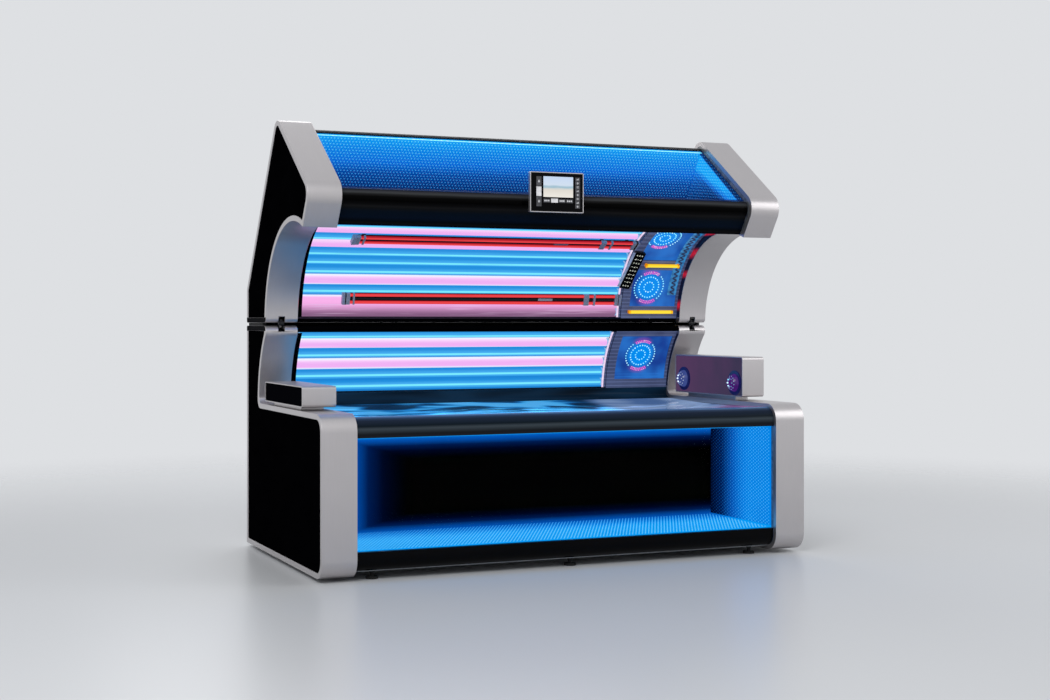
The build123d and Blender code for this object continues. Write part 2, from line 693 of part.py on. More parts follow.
def strut_stud(side, at):
    """Flanged stud on the inner wall, which carries one end of the gas strut."""
    wall_x = X_BAND + FIT + 6.0
    flange = sorted((side * wall_x, side * (wall_x + 6)))
    shank = sorted((side * wall_x, side * (X_BAND_MIDDLE + 12)))
    shoulder = sorted((side * wall_x, side * (X_BAND_MIDDLE - 10)))
    stud = block(*flange, at[0] - 28, at[0] + 28, at[1] - 28, at[1] + 28)
    stud += rod_x(*shoulder, *at, STRUT_PIN_R + 5)
    return stud + rod_x(*shank, *at, STRUT_PIN_R)


def hinge_pins():
    reach = HINGE_KNUCKLE_HALF + 1 + HINGE_EAR + 1
    return [rod_x(side * X_BAND_MIDDLE - reach, side * X_BAND_MIDDLE + reach, HINGE_Y, HINGE_Z, HINGE_PIN_R)
            for side in SIDES]


def canopy_brackets():
    """On the canopy at each end: the hinge knuckle in the band, and the stud for the gas strut."""
    made = []
    above = CANOPY_BOTTOM + BAND_WALL
    leaf = hinge_leaf(above + 6, above)
    for side in SIDES:
        x = side * X_BAND_MIDDLE
        near, far = x - HINGE_KNUCKLE_HALF, x + HINGE_KNUCKLE_HALF
        knuckle = slab(leaf, near, far)
        made.append(knuckle - rod_x(near - 1, far + 1, HINGE_Y, HINGE_Z, HINGE_PIN_R + RUNNING))
        made.append(strut_stud(side, STRUT_HEAD))
    return made


def along_strut(side):
    """Places a piece made along +Z from the strut's lower pin."""
    return Pos(side * X_BAND_MIDDLE, *STRUT_FOOT) * Rot(X=STRUT_ANGLE - 90)


def eye_ring(outer, bore, width):
    return Rot(Y=90) * (Cylinder(outer, width) - Cylinder(bore, width + 2))


def z_rod(z0, z1, radius):
    return Pos(0, 0, (z0 + z1) / 2) * Cylinder(radius, z1 - z0)


def strut_cylinders():
    """Gas strut barrels: eye on the base's stud, bore for the piston, guide for the rod."""
    start, end = STRUT_BARREL
    barrel = z_rod(start, end, STRUT_BARREL_R) + z_rod(6, start + 2, 6.5)
    barrel += Rot(Y=90) * Cylinder(12, 16)
    barrel -= Rot(Y=90) * Cylinder(STRUT_PIN_R + RUNNING, 20)
    barrel -= z_rod(start + 12, end - 12, STRUT_BARREL_R - 2.5)
    barrel -= z_rod(end - 13, end + 5, STRUT_PIN_R + RUNNING)
    return [along_strut(side) * barrel for side in SIDES]


def strut_rods():
    """Gas strut rods: piston, rod, and an upper eye with slack round the canopy's stud."""
    bore = STRUT_PIN_R + STRUT_EYE_SLACK
    rod = z_rod(40, 52, STRUT_BARREL_R - 2.6) + z_rod(50, STRUT_LENGTH - bore, STRUT_PIN_R)
    rod += Pos(0, 0, STRUT_LENGTH) * eye_ring(bore + 6, bore, 14)
    rod -= Pos(0, 0, STRUT_LENGTH) * Rot(Y=90) * Cylinder(bore, 20)
    return [along_strut(side) * rod for side in SIDES]


# ---- canopy -----------------------------------------------------------------------------------------
def canopy_shell_strip(wall):
    return canopy_outline(CANOPY_INSET, GAP_LIP) - canopy_outline(CANOPY_INSET + wall, GAP_LIP + wall)


SCREEN_TOP_Y = 48.0
RAIL_END_Y = -327.0
RAIL_LIP_INSET = 5.0


def nose_tangent():
    """Where the sloping front meets the rounded nose, and the unit direction into the canopy."""
    _, _, nose, _ = canopy_corners(CANOPY_INSET)
    length = hypot(1, SCREEN_SLOPE)
    up_slope = (1 / length, SCREEN_SLOPE / length)
    inwards = (SCREEN_SLOPE / length, -1 / length)
    round_off = NOSE_ROUND - CANOPY_INSET
    return (nose[0] + round_off * up_slope[0], nose[1] + round_off * up_slope[1]), inwards


def canopy_window():
    strip = canopy_shell_strip(WINDOW_THICKNESS)
    (ty, tz), (ny, nz) = nose_tangent()
    keep = polygon((ty - 60 * ny, tz - 60 * nz), (ty + 60 * ny, tz + 60 * nz),
                   (SCREEN_TOP_Y, 1910), (SCREEN_TOP_Y, 2130), (-300, 2130))
    return slab(strip & keep, -X_MID, X_MID)


def rail_outline(inset):
    """The canopy's nose with its lower edge drawn down almost to the bands' own arc."""
    _, apex, nose, _ = canopy_corners(inset)
    cy, cz = CANOPY_CENTRE
    radius = CANOPY_RADIUS + RAIL_LIP_INSET + inset - CANOPY_INSET
    foot = (nose[0] + 300 * SCREEN_SLOPE, nose[1] - 300)
    outline = polygon(apex, nose, foot, (apex[0], foot[1])) - Pos(cy, cz) * Circle(radius)
    outline = nearest_fillet(outline, *nose, NOSE_ROUND - inset)
    (ny, nz), length = (nose[0] - cy, nose[1] - cz), hypot(1, SCREEN_SLOPE)
    along = (ny * SCREEN_SLOPE - nz) / length
    reach = -along - sqrt(along ** 2 - ny ** 2 - nz ** 2 + radius ** 2)
    return nearest_fillet(outline, nose[0] + reach * SCREEN_SLOPE / length, nose[1] - reach / length, 4.0)


def nose_rail():
    """Rounded black rail from the window's lower edge round the nose, hemmed at the tunnel."""
    wall = 5.0
    strip = rail_outline(CANOPY_INSET) - rail_outline(CANOPY_INSET + wall)
    (ty, tz), (ny, nz) = nose_tangent()
    ty, tz = ty + nz * FIT, tz - ny * FIT
    reach = (RAIL_END_Y - ty) / ny
    keep = polygon((ty - 60 * ny, tz - 60 * nz), (RAIL_END_Y, tz + reach * nz), (RAIL_END_Y, 1480),
                   (-600, 1480), (-600, tz - 60 * nz))
    hem = rect(RAIL_END_Y - 3, RAIL_END_Y, 1500, 1600)
    hem &= Pos(*CANOPY_CENTRE) * (Circle(CANOPY_RADIUS + CANOPY_INSET) - Circle(CANOPY_RADIUS + RAIL_LIP_INSET))
    return slab((strip & keep) + hem, -X_MID, X_MID)


def canopy_rear_cover():
    """Folded sheet from the ridge down the back and under to the tunnel's lower edge."""
    strip = canopy_shell_strip(SHEET)
    lower = CANOPY_CENTRE[1] + CANOPY_RADIUS * sin(radians(CANOPY_ARC[0] - 0.4))
    keep = rect(200, 700, 1090, lower)
    keep += polygon((SCREEN_TOP_Y + FIT, 2130), (SCREEN_TOP_Y + FIT, 1930), (400, 1330), (600, 1090),
                    (700, 1090), (700, 2130))
    cover = slab(strip & keep, -X_MID, X_MID)
    for x_group in (-620.0, 620.0):
        for row in range(7):
            z = 1530 + row * 26
            y = (REAR_SHOULDER_Z - z) / REAR_SLOPE + Y_EDGE
            cover -= block(x_group - 180, x_group + 180, y - 60, y + 20, z - 4, z + 4)
    return cover


def canopy_niche():
    """Three-sided light box behind the sloping window: top wall, floor and two end walls."""
    inset = CANOPY_INSET + WINDOW_THICKNESS + FIT
    (ty, _), (ny, nz) = nose_tangent()
    top = (SCREEN_TOP_Y - 2, screen_line(SCREEN_TOP_Y - 2, inset))
    depth = 298.0
    back = (top[0] + depth * ny, top[1] + depth * nz)
    front_y = ty + 24
    front = (front_y, screen_line(front_y, inset))
    face = polygon(top, back, front)
    outside = offset(face, amount=SHEET, kind=Kind.INTERSECTION)
    liner = slab((outside & canopy_outline(inset, GAP_LIP)) - face, -X_MID, X_MID)
    for x0, x1 in mirrored_spans(X_MID - SHEET, X_MID):
        liner += slab(face, x0, x1)
    return liner


def arc_sheet(centre, radius, wall, angles, x0, x1):
    return slab(arc_strip(centre, radius, wall, angles), x0, x1)


def spine_beam():
    """Hollow steel beam that ties the canopy's end walls together."""
    reach = X_BAND + FIT
    return block(-reach, reach, 300, 370, 1480, 1560) - block(-reach - 1, reach + 1, 304, 366, 1484, 1556)


def red_bar_frame(angle, span):
    """Back plate, end caps and standoffs of a red light bar."""
    x0, x1 = span
    half = RED_TUBE_SPACING / 2 + RED_TUBE_R + 1
    plate_y = RED_TUBE_AXIS_R + RED_TUBE_R + 1
    frame = block(x0, x1, plate_y, plate_y + SHEET, -half, half)
    for x in (x0, x1 - 18):
        frame += block(x, x + 18, RED_TUBE_AXIS_R - RED_TUBE_R - 2, plate_y, -half - 2, half + 2)
    frame += block(x0, x1, RED_TUBE_AXIS_R - 3, plate_y, -4, 4)
    for x in (x0 + 60, x1 - 60, x1 - 200):
        frame += block(x - 9, x + 9, plate_y, CANOPY_ACRYLIC_R + 10, -12, 12)
    keep_inside = Rot(Y=90) * Cylinder(CANOPY_ACRYLIC_R, 4000)
    frame = frame & keep_inside
    for side in SIDES:
        frame -= rod_x(x0 + 8, x1 - 8, RED_TUBE_AXIS_R, side * RED_TUBE_SPACING / 2, RED_TUBE_R + 0.3)
    return on_arc(CANOPY_CENTRE, angle) * frame


def red_bar_tubes():
    made = []
    for angle, (x0, x1) in RED_BARS.items():
        for side in SIDES:
            tube = rod_x(x0 + 8.3, x1 - 8.3, RED_TUBE_AXIS_R, side * RED_TUBE_SPACING / 2, RED_TUBE_R)
            tube -= rod_x(x0, x1, RED_TUBE_AXIS_R, side * RED_TUBE_SPACING / 2, RED_TUBE_R - TUBE_WALL)
            made.append(on_arc(CANOPY_CENTRE, angle) * tube)
    return made


def yellow_bars():
    """Short yellow light bars in front of the facial panel, each held by two end caps."""
    made = []
    face_r = CANOPY_ACRYLIC_R - ACRYLIC
    axis_r = face_r - YELLOW_TUBE_R - 3
    for angle, (x0, x1) in YELLOW_BARS.items():
        bar = rod_x(x0, x1, axis_r, 0, YELLOW_TUBE_R)
        for x in (x0, x1 - 12):
            bar += block(x, x + 12, axis_r, face_r + 5, -YELLOW_TUBE_R, YELLOW_TUBE_R)
        bar = bar & (Rot(Y=90) * Cylinder(face_r, 4000))
        made.append(on_arc(CANOPY_CENTRE, angle) * bar)
    return made


KEYPAD_ANGLE = 36.2
KEYPAD_X = 712.0
KEYPAD_SIZE = (60.0, 14.0, 226.0)
KEYPAD_R = 466.0


def keypad():
    """Flat touch keypad on a stand on the divider between tubes and facial section."""
    width, thickness, length = KEYPAD_SIZE
    lean = Pos(KEYPAD_X, KEYPAD_R + thickness / 2, 0) * Rot(Y=8)
    plate = lean * fillet(Box(width, thickness, length).edges().filter_by(Axis.Y), 5)
    stand = block(KEYPAD_X - 5, KEYPAD_X + 22, KEYPAD_R + thickness, CANOPY_ACRYLIC_R + 10, -60, 60)
    stand = stand & (Rot(Y=90) * Cylinder(CANOPY_ACRYLIC_R - ACRYLIC, 4000))
    return on_arc(CANOPY_CENTRE, KEYPAD_ANGLE) * (plate + stand)


def touchscreen():
    """Upright touch screen in front of the nose, on a short arm."""
    x0, x1 = SCREEN_X
    z0, z1 = SCREEN_Z
    body = block(x0, x1, SCREEN_FRONT_Y, SCREEN_FRONT_Y + SCREEN_THICKNESS, z0, z1)
    body = fillet(body.edges().filter_by(Axis.Y), 6)
    arm = block(-75, 45, SCREEN_FRONT_Y + SCREEN_THICKNESS - 1, -375, SCREEN_Z[0] + 5, 1685)
    arm -= slab(canopy_outline(CANOPY_INSET, GAP_LIP), x0, x1)
    solids = arm.solids().sort_by(Axis.Y)
    return body + solids[0]


# ---- the whole machine --------------------------------------------------------------------------------
def nodes():
    base_left, base_right = end_bands(base_outline, BASE_TOP, BASE_NOTCH)
    canopy_left, canopy_right = end_bands(canopy_outline, CANOPY_BOTTOM, CANOPY_NOTCH)
    yield "base_end_band_left", base_left
    yield "base_end_band_right", base_right
    yield "base_side_panels", side_panels(base_outline)
    yield "base_inner_walls", inner_walls(base_outline)
    yield "base_chassis", chassis()
    yield "levelling_feet", feet()
    yield "base_plinth", plinth()
    yield "base_light_niche", light_niche()
    yield "base_front_window", front_window()
    yield "bed_rails", list(bed_rails())
    yield "bed_acrylic", bed_acrylic()
    yield "bed_reflector", bed_reflector()
    yield "bed_tubes", bed_tubes()
    yield "base_lamp_holders", base_sockets()
    yield "riser_acrylic", arc_sheet(RISER_CENTRE, RISER_ACRYLIC_R, ACRYLIC, RISER_ARC,
                                     -X_MID, RISER_FACE_X - FIT)
    yield "riser_reflector", arc_sheet(RISER_CENTRE, RISER_REFLECTOR_R, REFLECTOR_WALL, RISER_REFLECTOR_ARC,
                                       -X_MID, RISER_FACE_X - FIT)
    yield "riser_blue_tubes", riser_tubes(pink=False)
    yield "riser_pink_tubes", riser_tubes(pink=True)
    yield "riser_face_panel", face_panel(RISER_CENTRE, RISER_ACRYLIC_R, RISER_ARC, RISER_FACE_X,
                                         RISER_WINDOWS)
    yield "riser_led_board", light_board(RISER_CENTRE, RISER_ACRYLIC_R, RISER_FACE_X,
                                         RISER_WINDOWS[0], RISER_RING)
    yield "base_rear_cover", base_rear_cover()
    yield "ballasts", ballasts()
    yield "base_blower_housing", blower_housing(BASE_BLOWER, 110.0, 90.0)
    yield "base_blower_rotor", blower_rotor(BASE_BLOWER, 110.0, 90.0)
    yield "mains_inlet_box", mains_inlet()
    yield "foot_box_shell", foot_box()
    yield "head_box_shell", head_box()
    yield "end_box_panels", list(box_panels())
    for place, (y, z) in JETS.items():
        yield "air_jet_ring_" + place, jet_ring(y, z)
        yield "air_jet_ball_" + place, jet_ball(y, z)
    yield "base_pivot_brackets", base_brackets()
    yield "hinge_pins", hinge_pins()
    yield "strut_cylinders", strut_cylinders()
    yield "strut_rods", strut_rods()
    yield "canopy_end_band_left", canopy_left
    yield "canopy_end_band_right", canopy_right
    yield "canopy_side_panels", side_panels(canopy_outline)
    yield "canopy_inner_walls", inner_walls(canopy_outline)
    yield "canopy_spine_beam", spine_beam()
    yield "canopy_rear_cover", canopy_rear_cover()
    yield "canopy_front_window", canopy_window()
    yield "canopy_light_niche", canopy_niche()
    yield "canopy_nose_rail", nose_rail()
    yield "canopy_acrylic", arc_sheet(CANOPY_CENTRE, CANOPY_ACRYLIC_R, ACRYLIC, CANOPY_ARC,
                                      -X_MID, CANOPY_FACE_X - FIT)
    yield "canopy_reflector", arc_sheet(CANOPY_CENTRE, CANOPY_REFLECTOR_R, REFLECTOR_WALL, CANOPY_ARC,
                                        -X_MID, CANOPY_FACE_X - FIT)
    yield "canopy_blue_tubes", canopy_tubes(pink=False)
    yield "canopy_pink_tubes", canopy_tubes(pink=True)
    yield "canopy_lamp_holders", arc_sockets(CANOPY_CENTRE, CANOPY_TUBE_R,
                                             canopy_angles(range(CANOPY_TUBE_COUNT)), CANOPY_TUBES_END)
    yield "red_bar_frames", [red_bar_frame(angle, span) for angle, span in RED_BARS.items()]
    yield "red_bar_tubes", red_bar_tubes()
    yield "canopy_face_panel", face_panel(CANOPY_CENTRE, CANOPY_ACRYLIC_R, CANOPY_ARC, CANOPY_FACE_X,
                                          CANOPY_WINDOWS)
    yield "canopy_led_boards", [light_board(CANOPY_CENTRE, CANOPY_ACRYLIC_R, CANOPY_FACE_X, window, ring)
                                for window, ring in zip(CANOPY_WINDOWS, CANOPY_RINGS)]
    yield "yellow_light_bars", yellow_bars()
    yield "keypad", keypad()
    yield "touchscreen", touchscreen()
    yield "canopy_pivot_brackets", canopy_brackets()
    yield "canopy_blower_housing", blower_housing(CANOPY_BLOWER, 80.0, 80.0)
    yield "canopy_blower_rotor", blower_rotor(CANOPY_BLOWER, 80.0, 80.0)


def main():
    os.makedirs("parts", exist_ok=True)
    for name, shape in nodes():
        whole = Compound(children=list(shape)) if isinstance(shape, list) else shape
        export_step(whole, "parts/" + name + ".step")


if __name__ == "__main__":
    main()
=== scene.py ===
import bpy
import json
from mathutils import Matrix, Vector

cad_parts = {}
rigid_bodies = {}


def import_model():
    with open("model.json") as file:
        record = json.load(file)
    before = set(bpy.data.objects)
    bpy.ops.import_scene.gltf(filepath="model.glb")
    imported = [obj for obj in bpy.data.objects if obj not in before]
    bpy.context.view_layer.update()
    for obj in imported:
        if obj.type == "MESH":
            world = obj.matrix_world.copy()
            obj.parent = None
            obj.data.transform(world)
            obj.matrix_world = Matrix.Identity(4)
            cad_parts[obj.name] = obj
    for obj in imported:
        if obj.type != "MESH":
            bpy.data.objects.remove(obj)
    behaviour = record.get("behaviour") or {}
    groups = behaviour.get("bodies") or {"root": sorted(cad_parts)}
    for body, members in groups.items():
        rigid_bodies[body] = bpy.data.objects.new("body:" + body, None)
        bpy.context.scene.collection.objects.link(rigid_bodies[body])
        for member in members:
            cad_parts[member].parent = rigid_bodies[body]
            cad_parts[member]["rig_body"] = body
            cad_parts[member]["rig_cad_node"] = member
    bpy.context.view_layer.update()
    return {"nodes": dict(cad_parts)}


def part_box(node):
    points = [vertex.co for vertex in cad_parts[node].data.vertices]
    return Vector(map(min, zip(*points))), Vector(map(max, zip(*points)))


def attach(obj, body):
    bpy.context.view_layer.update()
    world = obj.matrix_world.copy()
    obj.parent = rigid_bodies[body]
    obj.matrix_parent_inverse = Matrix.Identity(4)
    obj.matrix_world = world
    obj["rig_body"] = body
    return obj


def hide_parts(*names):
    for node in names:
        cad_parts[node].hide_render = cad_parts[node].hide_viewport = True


bl_info = {
    "name": "Clamshell Tanning Bed",
    "version": (1, 0, 0),
    "blender": (4, 5, 0),
    "location": "View3D > Sidebar > Tanning Bed",
    "description": "Dresses the tanning bed with metal bands, lamps, lit niches and controls",
    "category": "Object",
}

import json
from functools import cache
from math import atan2, ceil, cos, degrees, hypot, pi, radians, sin, sqrt

import bpy
from bpy.props import FloatProperty, FloatVectorProperty, PointerProperty
from bpy.types import Operator, Panel, PropertyGroup
from mathutils import Matrix, Vector

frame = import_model()

# ---- sizes in metres; X runs to the head end, Y to the rear, Z up --------------------------------
BAND_LOW, BAND_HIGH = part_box("base_end_band_right")
X_BAND, X_END = BAND_LOW.x, BAND_HIGH.x
X_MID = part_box("base_front_window")[1].x
FRONT, REAR = BAND_LOW.y, BAND_HIGH.y
SEAT_Z = 0.713
RISER_HUB, RISER_R = Vector((-0.053, 0.720)), 0.468
CANOPY_HUB, CANOPY_R = Vector((-0.178, 1.090)), 0.463
NOSE_CORNER = Vector((-0.467, 1.676))
REAR_SHOULDER = Vector((REAR, 1.262))
SCREEN_SLOPE, REAR_SLOPE = 0.68, 1.404
CANOPY_UNDER, ROOF_TOP = (corner.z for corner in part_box("canopy_end_band_right"))
BENCH_ROUND, RISER_ROUND, NOSE_ROUND, HEEL_ROUND = 0.080, 0.030, 0.076, 0.022
BAND_WALL = 0.010
BAND_RIM = 0.024
RIM_THICKNESS = 0.009
SHELL_INSET = 0.016
CANOPY_INSET = 0.034
SHEET = 0.003
LIP = 0.002
TOUCH = 1e-5

UP, DOWN, BACK, AHEAD = Vector((0, 1)), Vector((0, -1)), Vector((1, 0)), Vector((-1, 0))
SCREEN_NORMAL = Vector((-SCREEN_SLOPE, 1)).normalized()
SLOPE_NORMAL = Vector((REAR_SLOPE, 1)).normalized()
NOSE_NORMAL = Vector((-1, -SCREEN_SLOPE)).normalized()

# Flat faces of the two housings, seen along X: outward normal and a point on each.
FACES = {
    "front": (AHEAD, Vector((FRONT, 0))),
    "floor": (DOWN, Vector((0, BAND_LOW.z))),
    "rear": (BACK, Vector((REAR, 0))),
    "top": (UP, Vector((0, BAND_HIGH.z))),
    "seat": (UP, Vector((0, SEAT_Z))),
    "under": (DOWN, Vector((0, CANOPY_UNDER))),
    "slope": (SLOPE_NORMAL, REAR_SHOULDER),
    "screen": (SCREEN_NORMAL, NOSE_CORNER),
    "nose": (NOSE_NORMAL, NOSE_CORNER),
}


def reach(face, inset, lip):
    """Distance of a face from the origin, set back; the two faces along the gap have their own lip."""
    normal, point = FACES[face]
    return normal.dot(point) - (lip if face in ("top", "under") else inset)


def corner(one, other, radius, inset, lip):
    """Bend between two faces: its centre, its start on the first and its end on the second."""
    n1, n2 = FACES[one][0], FACES[other][0]
    d1, d2 = reach(one, inset, lip) - radius, reach(other, inset, lip) - radius
    det = n1.x * n2.y - n1.y * n2.x
    centre = Vector(((d1 * n2.y - d2 * n1.y) / det, (n1.x * d2 - n2.x * d1) / det))
    return centre, centre + radius * n1, centre + radius * n2


def tuck(face, hub, hub_radius, radius, side, inset, lip, hollow=1):
    """Bend between a face and the tunnel's arc: its centre, its start on the face and its end on the arc."""
    normal = FACES[face][0]
    level = reach(face, inset, lip) - hollow * radius - normal.dot(hub)
    along = Vector((-normal.y, normal.x))
    along *= 1 if along.dot(side) > 0 else -1
    centre = hub + level * normal + sqrt((hub_radius + hollow * radius) ** 2 - level ** 2) * along
    return centre, centre + hollow * radius * normal, hub + hub_radius * (centre - hub).normalized()


def back_to_front(arc):
    return arc[0], arc[2], arc[1]


def spot(y, z):
    """A plain point of an outline."""
    return None, Vector((y, z)), Vector((y, z))


def on_hub(hub, radius, angle):
    return hub + radius * Vector((cos(radians(angle)), sin(radians(angle))))


def base_bends(inset, lip=None):
    """The base's bends by name."""
    lip = inset if lip is None else lip
    radius = RISER_R + inset
    return {
        "toe": corner("front", "floor", BENCH_ROUND - inset, inset, lip),
        "heel": corner("floor", "rear", 0.010 - inset / 4, inset, lip),
        "crest": corner("rear", "top", 0.010 - inset / 4, inset, lip),
        "nose": tuck("top", RISER_HUB, radius, max(RISER_ROUND - inset, 0.009), BACK, inset, lip),
        "foot": tuck("seat", RISER_HUB, radius, 0.035 + inset / 2, BACK, inset, lip, hollow=-1),
        "knee": corner("seat", "front", BENCH_ROUND - inset, inset, lip),
    }


def base_outline(inset, lip=None):
    """Bench in front, riser behind with the tunnel's arc cut out."""
    bend = base_bends(inset, lip)
    arc = (RISER_HUB, bend["nose"][2], bend["foot"][2])
    return [bend["toe"], bend["heel"], bend["crest"], bend["nose"], arc,
            back_to_front(bend["foot"]), bend["knee"]]


def apex_round():
    """Radius on the canopy's ridge that brings it down to the machine's height."""
    peak = corner("slope", "screen", 0.0, 0.0, 0.0)[0].y
    lowered = corner("slope", "screen", 0.1, 0.0, 0.0)[0].y + 0.1
    return 0.1 * (peak - ROOF_TOP) / (peak - lowered)


def canopy_bends(inset, lip=None):
    """The canopy's bends by name."""
    lip = inset if lip is None else lip
    radius = CANOPY_R + inset
    return {
        "hem": corner("under", "rear", 0.010 - inset / 5, inset, lip),
        "shoulder": corner("rear", "slope", 0.014 - inset / 4, inset, lip),
        "ridge": corner("slope", "screen", apex_round() - inset, inset, lip),
        "nose": corner("screen", "nose", NOSE_ROUND - inset, inset, lip),
        "cusp": tuck("nose", CANOPY_HUB, radius, 0.004, AHEAD, inset, lip),
        "heel": tuck("under", CANOPY_HUB, radius, max(HEEL_ROUND - inset, 0.006), BACK, inset, lip),
    }


def canopy_outline(inset, lip=None):
    """Ridge on top, nose in front, the tunnel's arc underneath."""
    bend = canopy_bends(inset, lip)
    arc = (CANOPY_HUB, bend["cusp"][2], bend["heel"][2])
    return [bend["hem"], bend["shoulder"], bend["ridge"], bend["nose"], bend["cusp"], arc,
            back_to_front(bend["heel"])]


def strip(bends, inset, wall, lip=LIP):
    """Outline of a folded sheet: its outer line there and its inner line back."""
    inner = [back_to_front(arc) for arc in reversed(bends(inset + wall, lip + wall))]
    return bends(inset, lip) + inner


# ---- modelling helpers ---------------------------------------------------------------------------
def deselect():
    if bpy.context.mode != "OBJECT":
        bpy.ops.object.mode_set(mode="OBJECT")
    bpy.ops.object.select_all(action="DESELECT")


def select(*pieces):
    deselect()
    for piece in pieces:
        piece.select_set(True)
    bpy.context.view_layer.objects.active = pieces[0]


def start(name, primitive, **size):
    """Adds a primitive of bpy.ops.mesh at its size and place."""
    deselect()
    getattr(bpy.ops.mesh, "primitive_" + primitive + "_add")(**size)
    piece = bpy.context.object
    piece.name = name
    piece.data.name = name
    settle(piece)
    return piece


def settle(piece):
    """Puts the piece's place into its mesh."""
    select(piece)
    bpy.ops.object.transform_apply(location=True, rotation=True, scale=True)


class editing:
    """Edit mode on one piece, with all of it selected."""

    def __init__(self, piece):
        self.piece = piece

    def __enter__(self):
        select(self.piece)
        bpy.ops.object.mode_set(mode="EDIT")
        bpy.ops.mesh.select_mode(type="VERT")
        bpy.ops.mesh.select_all(action="SELECT")
        return self

    def __exit__(self, *error):
        bpy.ops.object.mode_set(mode="OBJECT")

    def extrude(self, *step):
        bpy.ops.mesh.extrude_region_move(TRANSFORM_OT_translate={"value": step})

    def outwards(self):
        bpy.ops.mesh.select_all(action="SELECT")
        bpy.ops.mesh.normals_make_consistent(inside=False)


def draw(name, x, arcs):
    """Face in the plane at x: one vertex is extruded along the straight runs and spun round each bend."""
    here = arcs[0][1]
    piece = start(name, "plane", size=0.01, location=(x, *here))
    with editing(piece) as shape:
        bpy.ops.mesh.merge(type="CENTER")
        for hub, first, last in arcs:
            if (first - here).length > TOUCH:
                shape.extrude(0, *(first - here))
            if hub is not None:
                a, b = first - hub, last - hub
                turn = atan2(a.x * b.y - a.y * b.x, a.dot(b))
                finest = radians(2.5) if a.length > 0.2 else radians(9)
                bpy.ops.mesh.spin(steps=max(3, ceil(abs(turn) / finest)), angle=-turn,
                                  center=(x, *hub), axis=(1, 0, 0))
            here = last
        bpy.ops.mesh.select_all(action="SELECT")
        bpy.ops.mesh.remove_doubles(threshold=TOUCH)
        bpy.ops.mesh.edge_face_add()
    return piece


def slab(name, arcs, x0, x1):
    """Solid along X with that outline."""
    piece = draw(name, x0, arcs)
    with editing(piece) as shape:
        shape.extrude(x1 - x0, 0, 0)
        shape.outwards()
    return piece


def box(name, low, high):
    middle = (Vector(low) + Vector(high)) / 2
    return start(name, "cube", size=1, location=middle, scale=Vector(high) - Vector(low))


def rod(name, x0, x1, y, z, radius, sides=32):
    """Round bar along X."""
    return start(name, "cylinder", radius=radius, depth=x1 - x0, vertices=sides,
                 location=((x0 + x1) / 2, y, z), rotation=(0, pi / 2, 0))


def apply(piece, kind, **settings):
    """Adds a modifier and applies it."""
    select(piece)
    modifier = piece.modifiers.new(kind.title(), kind)
    for key, value in settings.items():
        setattr(modifier, key, value)
    bpy.ops.object.modifier_apply(modifier=modifier.name)
    return piece


def cut(piece, *cutters):
    """Takes the cutters out of a piece."""
    for cutter in cutters:
        apply(piece, "BOOLEAN", operation="DIFFERENCE", object=cutter, solver="EXACT")
        bpy.data.objects.remove(cutter)
    return piece


def soften(piece, edge=0.001, segments=2, angle=38):
    """Rounds a piece's sharp edges a little and keeps its broad faces flat in the light."""
    select(piece)
    bpy.ops.object.shade_smooth_by_angle(angle=radians(angle))
    if edge:
        apply(piece, "BEVEL", width=edge, segments=segments, limit_method="ANGLE",
              angle_limit=radians(angle), harden_normals=True, use_clamp_overlap=True)
    return piece


def twin(piece, name=None):
    """Copy of a piece with its own mesh."""
    copy = piece.copy()
    copy.data = piece.data.copy()
    copy.name = name or piece.name
    copy.data.name = copy.name
    bpy.context.scene.collection.objects.link(copy)
    return copy


def moved(piece, matrix):
    piece.data.transform(matrix)
    return piece


def joined(name, pieces):
    select(*pieces)
    if len(pieces) > 1:
        bpy.ops.object.join()
    pieces[0].name = name
    pieces[0].data.name = name
    return pieces[0]


def repeated(piece, matrices):
    """Copies of a piece, one at each place; the piece itself is removed."""
    copies = [moved(twin(piece), matrix) for matrix in matrices]
    bpy.data.objects.remove(piece)
    return copies


def shift(x=0.0, y=0.0, z=0.0):
    return Matrix.Translation((x, y, z))


def about(hub, angle):
    """Turn about the line along X through a hub, in degrees."""
    centre = Matrix.Translation((0, *hub))
    return centre @ Matrix.Rotation(radians(angle), 4, "X") @ centre.inverted()


def refined(node, edge=0.0008, name=None, segments=2):
    """Copy of a CAD node with its triangles merged to faces and its edges rounded."""
    source = frame["nodes"][node]
    piece = source.copy()
    piece.data = source.data.copy()
    piece.name = name or node + "_body"
    piece.data.name = piece.name
    piece.parent = None
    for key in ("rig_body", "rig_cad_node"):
        del piece[key]
    bpy.context.scene.collection.objects.link(piece)
    select(piece)
    bpy.ops.mesh.customdata_custom_splitnormals_clear()
    with editing(piece):
        bpy.ops.mesh.remove_doubles(threshold=TOUCH)
        bpy.ops.mesh.dissolve_limited(angle_limit=radians(0.5))
    return soften(piece, edge, segments)


def hand_over(piece, body, slot, finish, *nodes):
    """Gives a finished piece its material, its body and the CAD nodes it stands for; the slot is not used."""
    piece.data.materials.clear()
    piece.data.materials.append(finish)
    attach(piece, body)
    if nodes:
        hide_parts(*nodes)
    return piece


def coat(finish, *nodes):
    """Gives CAD nodes that stay as they are their finish."""
    for node in nodes:
        frame["nodes"][node].material_slots[0].material = finish


